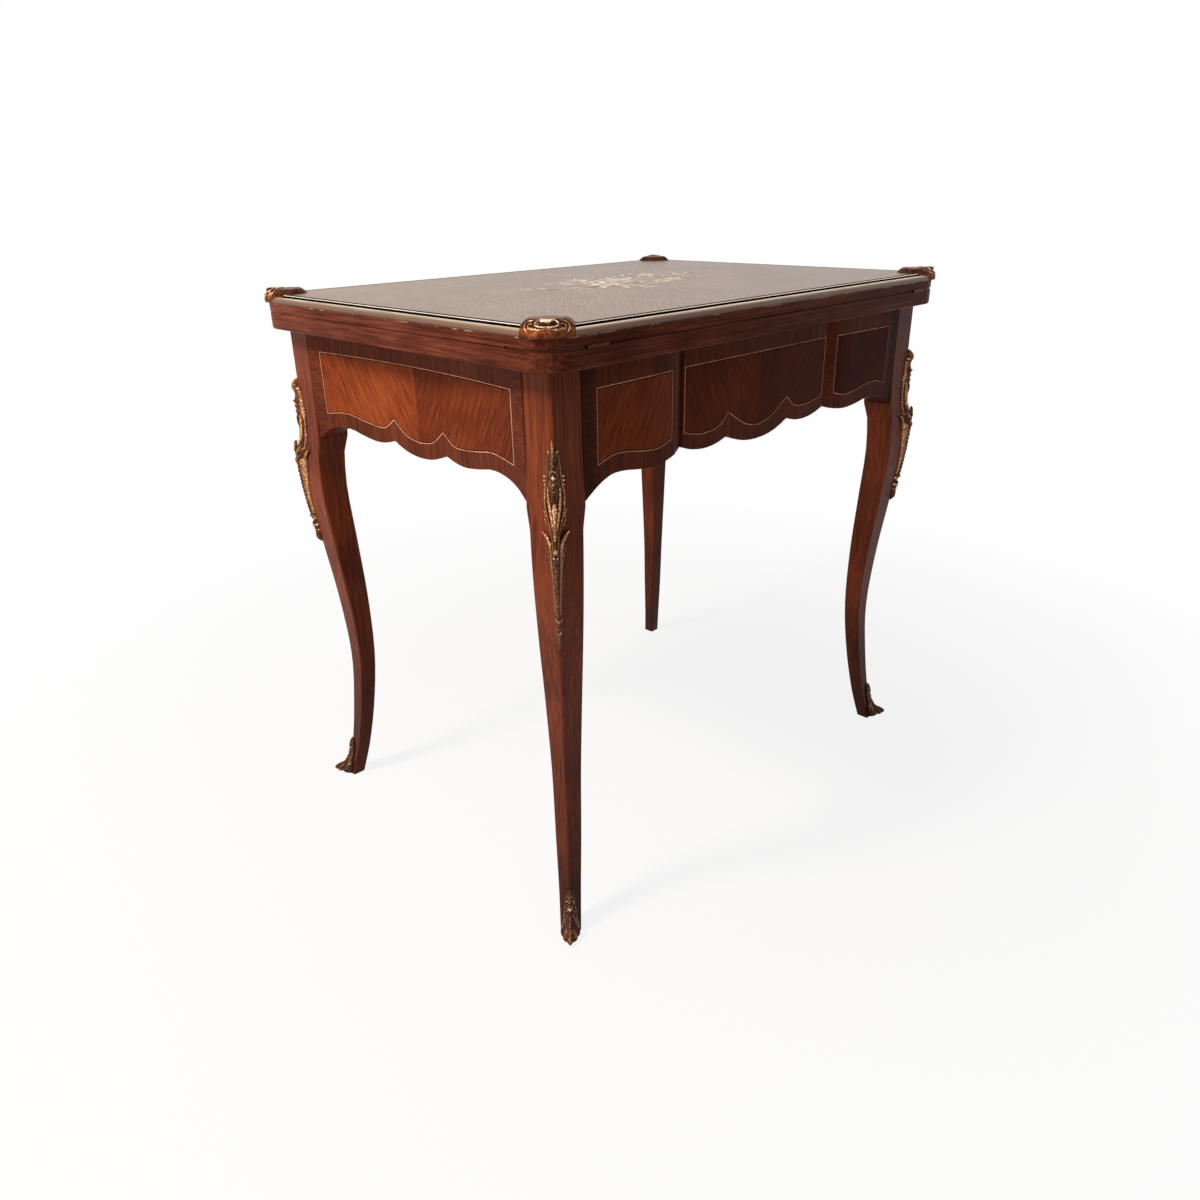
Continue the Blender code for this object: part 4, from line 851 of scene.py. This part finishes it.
foot = new_casting()
cast_form(foot, [(0, 63.5, -0.2, 0.3, 0.6), (0, 59, 0, 1.4, 1.4), (0, 53, 0, 1.7, 1.6),
                 (0, 47, 0, 0.9, 1.2)], gilt=0.4)
for gilt, keys in (
        # The leaf's side lobes, and the scrolls under it
        (0.6, ((0.6, 52, 0, 0.6, 1.0), (2.4, 55.5, 0, 0.9, 1.2), (3.6, 59, 0, 0.3, 0.6))),
        (0.7, ((0.8, 46.5, 0, 0.7, 1.0), (3.0, 48.4, 0, 0.9, 1.3), (5.0, 46.2, 0, 0.9, 1.3),
               (4.2, 43.2, 0, 0.7, 1.2), (2.6, 44, 0, 0.6, 1.0))),
        (0.5, ((0.6, 34.6, 0, 0.7, 1.1), (3.0, 35.8, 0, 0.8, 1.3), (5.6, 33.6, 0, 0.8, 1.3),
               (5.2, 30.6, 0, 0.6, 1.0))),
        # The long leaf that ends in a curl, and the gadroons beside the toe
        (0.45, ((2.2, 31, 0, 0.7, 0.9), (4.4, 26, 0, 1.1, 1.2), (6.6, 19, 0, 1.0, 1.0),
                (8.2, 14.5, 0, 0.5, 0.8))),
        (0.45, ((6.4, 15.6, 0, 0.6, 0.9), (8.6, 13.6, 0, 0.9, 1.1), (8.4, 10.2, 0, 0.8, 1.1),
                (6.6, 11.0, 0, 0.5, 0.8))),
        (0.30, ((2.4, 17, 0, 0.5, 0.8), (3.5, 12, 1.6, 1.0, 1.5), (3.4, 7, 3.2, 1.1, 1.8),
                (2.8, 3.6, 3.0, 0.8, 1.4)))):
    for part in mirrored(keys):
        cast_form(foot, part, steps=4, section=8, gilt=gilt)
cast_form(foot, [(0, 31, 0, 1.0, 1.0), (0, 25, 0, 1.6, 1.3), (0, 18.5, 0, 0.9, 0.9)], gilt=0.35)
# The toe rolls forward under three gadroons
cast_form(foot, [(0, 17, 0, 3.6, 0.8), (0, 11, 0, 5.2, 2.6), (0, 6, 0, 4.6, 4.6),
                 (0, 2.8, 0, 3.4, 4.4)], steps=4, section=12, gilt=0.1)
cast_form(foot, [(0, 18, 0.2, 0.6, 0.9), (0, 12, 2.4, 1.1, 1.7), (0, 7, 4.4, 1.3, 2.0),
                 (0, 3.6, 4.4, 1.0, 1.6)], steps=4, gilt=0.45)
for across, height, size, squash, gilt in (
        (0, 38.6, 1.5, (0.8, 1, 1.5), 1.4), (1.9, 39.2, 1.3, (0.8, 1, 1.4), 1.2),
        (1.0, 42.4, 0.9, (1, 1, 1), 0.8)):
    for way in ((-1, 1) if across else (1,)):
        cast_ball(foot, way * across, height, 0.2, size, squash, gilt)
# A row of beads down each edge of the mount
EDGE_BEADS, TOP_EDGE_BEAD, EDGE_SPACING = 8, 37, 2.7
for k in range(EDGE_BEADS):
    for way in (-1, 1):
        height = TOP_EDGE_BEAD - EDGE_SPACING * k
        cast_ball(foot, way * (7.2 + 0.15 * k), height, 0.1, 0.85, gilt=0.9)
four_castings(foot, "foot_chasing", on_sabot, "frame")

# The leaves: solid cores edged in dark veneer that runs along the edge. The upper one is veneered
# on top inside the rim, in four quarters that meet on the diagonals, and french polished.
def end_faces(tree, place):
    """A mask for the leaves' short edges."""
    facing = split(tree, add_node(tree, "TexCoord").outputs["Normal"])["X"]
    return maths(tree, "GREATER_THAN", maths(tree, "ABSOLUTE", facing), 0.7)


leaf_veneer = two_way_veneer("dark_edge_veneer", ("#3A170D", "#5C2C1E", "#784030"), "X", "Y",
                             end_faces, pore=0.0009, stripe=0.0036)
# Heights of the sharp edges at the seam and under the rim, and half the width that is made pale
SEAM_EDGES, RIM_EDGE = (0.7429, 0.0007), (0.7551, 0.0005)


def seam_arrises(tree, place, facing):
    """The sharp edges of the two leaves along the seam and under the rim."""
    height = split(tree, place)["Z"]
    both = maths(tree, "ADD", near(tree, height, *SEAM_EDGES), near(tree, height, *RIM_EDGE))
    return maths(tree, "MULTIPLY", both, near(tree, split(tree, facing)["Z"], 0.0, 0.5))


# Pale patches on these edges: chips of wear along the seam, and a painted glint along the edge
# under the rim
wear_and_light_patches(leaf_veneer, "#D6BCA6", seam_arrises, size=0.020, share=-0.05)
dress(["lower_leaf", "upper_leaf"], leaf_veneer)
RIM_INSET = 0.0132
TOP = top_high.z
TOP_TINT = "#FBF5E0"
TOP_VENEER_THICK, TOP_VENEER_PROUD = 0.0001, 0.00006
QUARTERS_APART = 0.9
top_veneer = polished_wood("quartered_top_veneer", ("#684B35", "#7E5F47", "#8E6F55"), "UV",
                           pore=0.0010, stripe=0.004, depth=0.5, shine=0.30, tint=TOP_TINT)
bm = bmesh.new()
uv = bm.loops.layers.uv.new("UVMap")
inside_rim = Matrix.Diagonal((top_high.x - RIM_INSET, top_high.y - RIM_INSET, 1, 1))
bmesh.ops.create_grid(bm, x_segments=2, y_segments=2, size=1.0, matrix=inside_rim)
bmesh.ops.translate(bm, verts=bm.verts, vec=(0, 0, TOP + TOP_VENEER_PROUD))
for face in bm.faces:
    middle = face.calc_center_median()
    for loop in face.loops:
        x, y = abs(loop.vert.co.x), abs(loop.vert.co.y)
        loop[uv].uv = ((x - y) * DIAGONAL + QUARTERS_APART * (middle.x > 0),
                       (x + y) * DIAGONAL + QUARTERS_APART * (middle.y > 0))
thicken(bm, Vector((0, 0, -TOP_VENEER_THICK)))
add_piece("top_veneer", bm, top_veneer, "upper_leaf", smooth=False)

# The panel's arris is pale above the rim, rubbed and with a painted highlight along it. Its wall
# below is painted near black as shade, and a dark string is let in just inside it.
arris_wear_and_glint = polished_wood("rubbed_arris", ("#D8C8B6", "#ECDFD0", "#F8F0E6"), "X",
                           pore=0.0006, depth=0.3)
# The rubbed arris is made partly metallic so that it glints: a painted highlight
set_finish(arris_wear_and_glint, {"Metallic": 0.75})
painted_wall_shade = polished_wood("painted_wall_shade", ("#0A0605", "#0F0A08", "#17100D"), "X",
                         depth=0.3, gloss=0.6, shine=0.0)
dark_string = polished_wood("dark_string", ("#1E120C", "#2C1C13", "#3A271B"), "X",
                            depth=0.3, shine=0.0)
# Half the length of each strip, which stops at the corner mounts
LONG_HALF, SHORT_HALF = 0.3586, 0.2501
EASED_SHARE = 0.8
for side in sides:
    along, outward = directions[side]
    on_long_side = side in ("front", "back")
    half_long, reach = (LONG_HALF, top_high.y) if on_long_side else (SHORT_HALF, top_high.x)
    for part, inset, wide, low, high, material in (
            ("rubbed_arris_", 0.01170, 0.0007, TOP - 0.0007, TOP + 0.00007, arris_wear_and_glint),
            # The wall strip is painted near black as the shade under the panel's arris
            ("wax_wall_", 0.01180, 0.0002, TOP - 0.0046, TOP - 0.0006, painted_wall_shade),
            ("dark_string_", 0.01530, 0.0054, TOP - 0.0002, TOP + 0.00009, dark_string)):
        bm = bmesh.new()
        bmesh.ops.create_cube(bm, size=1.0,
                              matrix=Matrix.Diagonal((2 * half_long, wide, high - low, 1)))
        if material == arris_wear_and_glint:
            # The rubbed edge is eased on its outer side
            for vert in bm.verts:
                if vert.co.z > 0 > vert.co.y:
                    vert.co.y += EASED_SHARE * wide
        turn = Matrix.Rotation(math.atan2(along.y, along.x), 4, "Z")
        centre = outward * (reach - inset) + Vector((0, 0, (high + low) / 2))
        bmesh.ops.transform(bm, matrix=Matrix.Translation(centre) @ turn, verts=bm.verts)
        add_piece(part + side, bm, material, "upper_leaf", smooth=False)

# The marquetry spray in the middle of the top: petals, leaves and stems sawn from pale veneers of
# three tones, and let into the ground veneer.
PETALS, LEAVES, STEMS = range(3)
inlays = [bmesh.new(), bmesh.new(), bmesh.new()]
INLAY_THICK, INLAY_PROUD, LAYER_RISE, LEAF_RISE = 0.0003, 0.0001, 0.00016, 0.0000014


def inlay_leaf(layer, x, y, long, wide, turn):
    """One leaf or petal, pointed at both ends, in mm; long runs along the turn in degrees."""
    bm = inlays[layer]
    ring = bmesh.ops.create_circle(bm, cap_ends=True, segments=18, radius=1.0)["verts"]
    # A round drawn in to two points
    for vert in ring:
        vert.co.y *= (1.02 - vert.co.x ** 2) ** 0.35
    size = Matrix.Diagonal((long / 2000, wide / 2000, 1, 1))
    # Each is a hair higher than the last, because they overlap
    height = TOP + INLAY_PROUD + LAYER_RISE * layer + LEAF_RISE * len(bm.faces)
    place = Matrix.Translation((x / 1000, y / 1000, height))
    way = Matrix.Rotation(math.radians(turn), 4, "Z")
    step = Matrix.Translation((long / 2000, 0, 0))
    bmesh.ops.transform(bm, matrix=place @ way @ step @ size, verts=ring)


# The flowers: their place and the length of a petal in mm, the number of petals, and the turn of
# the first one
for x, y, size, count, start in (
        (-28, -2, 30, 8, 4), (34, 28, 22, 7, 0), (-62, 40, 15, 7, 0), (88, -28, 16, 6, 10),
        (116, 52, 15, 7, 15), (-96, -20, 14, 6, 10), (52, -40, 18, 7, 30), (150, 10, 13, 6, 8),
        (-24, -62, 13, 6, 25), (-10, 62, 12, 6, 0)):
    for k in range(count):
        inlay_leaf(PETALS, x, y, size, size * 0.42, start + 360 * k / count)
    inlay_leaf(LEAVES, x - size * 0.16, y, size * 0.32, size * 0.32, 0)
heart = Vector((-28, -2))
STEM_SPACING, STEM_PIECE, END_PETAL = 5, (8, 2.2), (24, 5)
LEAF_EVERY, LONGEST_LEAF, SHORTER_BY = 5, 38, 14
# Each stem springs from the largest flower to the place given, with a bulge to one side, and bears
# a pair of leaves at every fifth piece of it
for x, y, bulge in ((186, 14, 14), (142, -28, -22), (126, 74, 12), (-6, 80, 10), (-70, 54, -8),
                    (-26, -82, -12), (-142, 22, 34)):
    step = Vector((x, y)) - heart
    sideways = Vector((-step.y, step.x)).normalized()
    count = round(step.length / STEM_SPACING)
    for k in range(count):
        t = k / count
        slope = step + bulge * math.pi * math.cos(math.pi * t) * sideways
        spot = heart + step * t + bulge * math.sin(math.pi * t) * sideways
        turn = math.degrees(math.atan2(slope.y, slope.x))
        inlay_leaf(STEMS, *spot, *STEM_PIECE, turn)
        if k % LEAF_EVERY == LEAF_EVERY - 1:
            way = 1 if k % (2 * LEAF_EVERY) < LEAF_EVERY else -1
            long = LONGEST_LEAF - SHORTER_BY * t
            inlay_leaf(PETALS, *spot, long, long * 0.20, turn + 34 * way)
            inlay_leaf(LEAVES, *spot, long * 0.9, long * 0.22, turn - 38 * way)
    inlay_leaf(PETALS, *spot, *END_PETAL, turn)
for part, bm, shades in (("marquetry_petals", inlays[PETALS], ("#D4BEA6", "#E6D4C0", "#F6EADA")),
                         ("marquetry_leaves", inlays[LEAVES], ("#AE967E", "#C4AE96", "#D8C4AE")),
                         ("marquetry_stems", inlays[STEMS], ("#B8A08A", "#CCB6A0", "#DECCBA"))):
    thicken(bm, Vector((0, 0, -INLAY_THICK)))
    inlay = polished_wood(part, shades, "X", pore=0.0008, depth=0.4, shine=0.30, tint=TOP_TINT)
    add_piece(part, bm, inlay, "upper_leaf", smooth=False)

# The rim: half-round brass moulding pinned round the edge of the top between the corner mounts.
# Its colour is painted by height: a painted highlight and sky reflection on its crest, and a
# painted reflection of the brown ground, with shade, below.
rim_brass = metal("drawn_rim_brass", ("#B4AA9E", "#D8CFC4", "#F6F0E8"), 0.32,
                  grain=900.0, stretch=(0.02, 0.02, 1))
tree = rim_brass.node_tree
RIM_FOOT, RIM_CREST = TOP - 0.0097, TOP - 0.0024
height = split(tree, add_node(tree, "TexCoord").outputs["Object"])["Z"]
share = remap(tree, height, RIM_FOOT, RIM_CREST, 0.0, 1.0)
painted_sky_and_ground_reflection = ((0.05, "#5A3321"), (0.97, "#FBEEDB"), (0.22, "#663E2A"), (0.38, "#8C6850"),
            (0.55, "#765240"), (0.80, "#A68A72"))
gradient = add_node(tree, "ValToRGB", {"ramp": painted_sky_and_ground_reflection}, {0: share}).outputs[0]
set_finish(rim_brass, links={"Metallic": remap(tree, share, 0.6, 0.9, 0.25, 1.0),
                             "Base Color": multiplied(tree, base_colour(rim_brass), gradient)})
dress(["rim_" + side for side in sides], rim_brass)

# The corner mounts: cast bronze caps with a smooth front and a polished oval boss, in a frame of
# chased scrolls, and with a ribbed shell behind it.
burnished_bronze = metal("burnished_bronze", ("#522614", "#70381E", "#9A5A34"), 0.26,
                         recess=0.0030, grain=150.0)
set_finish(burnished_bronze, {"Metallic": 0.45, "Specular IOR Level": 0.15,
                              "Specular Tint": linear(WARM_SHEEN)})
CAP_FRONT_DEPTH, CAP_FRONT_TOP = 0.017, TOP - 0.0012


def under_scrolls(tree, place, facing):
    """A mask for the sunk ground of the chased work: each mount's dome and back, not its front."""
    far = add_node(tree, "VectorMath", {"operation": "ABSOLUTE"}, {0: place}).outputs[0]
    x, y, z = split(tree, far)
    behind = maths(tree, "MULTIPLY", maths(tree, "LESS_THAN", x, top_high.x - CAP_FRONT_DEPTH),
                   maths(tree, "LESS_THAN", y, top_high.y - CAP_FRONT_DEPTH))
    return maths(tree, "MAXIMUM", behind, maths(tree, "GREATER_THAN", z, CAP_FRONT_TOP))


wear_and_light_patches(burnished_bronze, "#301A10", under_scrolls, size=0.0016, share=0.12)
# Painted shade and reflection: the smooth front is darker low down and brighter near the top
shaded(burnished_bronze, "Z", start=TOP - 0.0095, end=TOP, first=0.5, last=1.1)
dress(["corner_mount_" + place for place in corners], burnished_bronze)
cap_surface = surface_of("corner_mount_front_left")
CAP_TILT = math.radians(28)
CAP_INSET, CAP_MIDDLE, OUTSIDE_CAP = 0.013, 0.004, 0.03
cap_centre = Vector((top_low.x + CAP_INSET, top_low.y + CAP_INSET, TOP + CAP_MIDDLE))
cap_across = Vector((1, -1, 0)).normalized()
cap_in = Vector((1, 1, 0)).normalized()
cap_up = cap_in * math.cos(CAP_TILT) + Vector((0, 0, math.sin(CAP_TILT)))
cap_out = Vector((0, 0, math.cos(CAP_TILT))) - cap_in * math.sin(CAP_TILT)


def on_cap(vert):
    """Lays a flat form on the near corner mount."""
    base = cap_centre + cap_across * vert.co.x + cap_up * vert.co.z
    laid = seated(cap_surface, cap_out, base, -vert.co.y, OUTSIDE_CAP)
    # No scroll stands past the mount itself
    vert.co = (max(laid.x, top_low.x), max(laid.y, top_low.y), min(laid.z, cad_box[1][2] - 0.0001))


cap = new_casting()
# A roll of bronze round the boss, led once round an oval
OVAL_STEPS, OVAL_LONG, OVAL_HIGH = 16, 11.4, 6.9
oval = []
for k in range(OVAL_STEPS + 1):
    angle = 2 * math.pi * k / OVAL_STEPS
    oval.append((OVAL_LONG * math.cos(angle), OVAL_HIGH * math.sin(angle), 0.4, 0.8, 1.5))
cast_form(cap, oval, steps=3, section=8, gilt=1.35)
cast_ball(cap, 0, 0, 0.6, 1.0, (7.6, 2.8, 4.2), 2.2)
for keys in (
        # The inner and the outer scroll, and two ribs of the shell
        ((0.6, -8.0, 0, 0.8, 1.0), (5, -8.8, 0, 1.0, 1.5), (10, -7.4, 0, 1.1, 1.6),
         (15, -4.2, 0, 1.2, 1.6), (18.4, 0.5, 0, 1.1, 1.5), (17.6, 4.6, 0, 1.0, 1.4),
         (14.8, 4.2, 0, 0.9, 1.2), (15.4, 1.6, 0, 0.7, 1.0)),
        ((19.6, -3.0, 0, 0.6, 0.8), (21.6, 1.4, 0, 1.0, 1.3), (21.4, 6.4, 0, 1.1, 1.4),
         (18.4, 9.6, 0, 1.0, 1.4), (14.2, 9.8, 0, 0.9, 1.2), (13.4, 7.6, 0, 0.7, 1.0)),
        ((3.4, 8.6, 0, 0.6, 0.8), (4.6, 11.6, 0, 1.1, 1.3), (5.6, 15.4, 0, 0.8, 0.9)),
        ((7.2, 8.0, 0, 0.6, 0.8), (9.2, 10.8, 0, 1.1, 1.3), (11.0, 14.0, 0, 0.8, 0.9))):
    for part in mirrored(keys):
        cast_form(cap, part, steps=4, section=8, gilt=0.85)
cast_form(cap, [(0, 8.8, 0, 0.6, 0.8), (0, 12.0, 0, 1.2, 1.4), (0, 16.0, 0, 0.8, 0.9)],
          steps=4, section=8)
four_castings(cap, "cap_chasing", on_cap, "upper_leaf")

# The hinges: brass plates let into the seam at the two front corners, with a round knuckle between
# them and four countersunk screws in each plate. The brass is tarnished.
hinge_brass = metal("tarnished_hinge_brass", ("#6A4A2A", "#84603A", "#9C7A4C"), 0.42, grain=120.0)


def in_the_seam(tree, place, facing):
    """The edges of the plates and the knuckles, which are darkened to the brown of the leaves'
    edges.
    """
    return near(tree, split(tree, facing)["Z"], 0.0, 0.97)


wear_and_light_patches(hinge_brass, "#46231A", in_the_seam, size=0.002, share=0.5)
dress([name for name in nodes if name.startswith("hinge_")], hinge_brass)
SEAM_HEIGHT, SEAM_HALF = 0.7435, 0.0004
HEAD_RADIUS, HEAD_EASE, HEAD_THICK = 0.0021, 0.0001, 0.0002
SCREW_PLACES = ((0.3915, -0.245), (0.3915, -0.262), (0.372, -0.2835), (0.330, -0.2835))
for level, facing in (("lower", 1), ("upper", -1)):
    for end, sx in (("left", -1), ("right", 1)):
        plate = surface_of("hinge_plate_%s_%s" % (level, end))
        bm = bmesh.new()
        for x, y in SCREW_PLACES:
            point = Vector((sx * x, y, SEAM_HEIGHT))
            seat = seated(plate, Vector((0, 0, facing)), point, 0.0, SEAM_HALF)
            head = bmesh.ops.create_cone(bm, cap_ends=True, segments=20, radius1=HEAD_RADIUS,
                                         radius2=HEAD_RADIUS - HEAD_EASE, depth=HEAD_THICK)
            bmesh.ops.translate(bm, verts=head["verts"], vec=seat)
        add_piece("hinge_screws_%s_%s" % (level, end), bm, hinge_brass, level + "_leaf")

# The baize: green woollen cloth glued down inside both leaves, where the cards are played. It has a
# short nap, brushed one way, and is a little lighter where hands have rubbed it.
baize, tree = new_finish("green_baize", {"Roughness": 0.95, "Sheen Weight": 0.35,
                                         "Sheen Roughness": 0.5})
place = add_node(tree, "TexCoord").outputs["Object"]
nap = add_node(tree, "TexNoise", {"Scale": 900.0, "Detail": 3.0, "Roughness": 0.7},
               {"Vector": place}).outputs[0]
hands = add_node(tree, "TexNoise", {"Scale": 5.0, "Detail": 3.0}, {"Vector": place}).outputs[0]
mixed = maths(tree, "MULTIPLY_ADD", hands, 0.7, nap)
greens = ((0.55, "#17402A"), (1.1, "#3C7552"), (0.85, "#27593C"))
colour = add_node(tree, "ValToRGB", {"ramp": greens}, {0: mixed})
bump = add_node(tree, "Bump", {"Strength": 0.5, "Distance": 0.0003}, {"Height": nap})
set_finish(baize, links={"Base Color": colour.outputs[0], "Normal": bump.outputs[0]})
BAIZE_CORNER = 0.0217
for level, facing in (("lower", 1), ("upper", -1)):
    low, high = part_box("baize_" + level)
    bm = bmesh.new()
    bmesh.ops.create_grid(bm, x_segments=1, y_segments=1, size=1.0,
                          matrix=Matrix.Diagonal((high.x, high.y, 1, 1)))
    bmesh.ops.bevel(bm, geom=bm.verts[:], offset=BAIZE_CORNER, offset_type="OFFSET",
                    segments=8, profile=0.5, affect="VERTICES", material=-1)
    bmesh.ops.translate(bm, verts=bm.verts, vec=(0, 0, low.z if facing > 0 else high.z))
    thicken(bm, Vector((0, 0, facing * (high.z - low.z))))
    cloth = add_piece("baize_cloth_" + level, bm, baize, level + "_leaf",
                      smooth=False)
    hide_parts("baize_" + level)
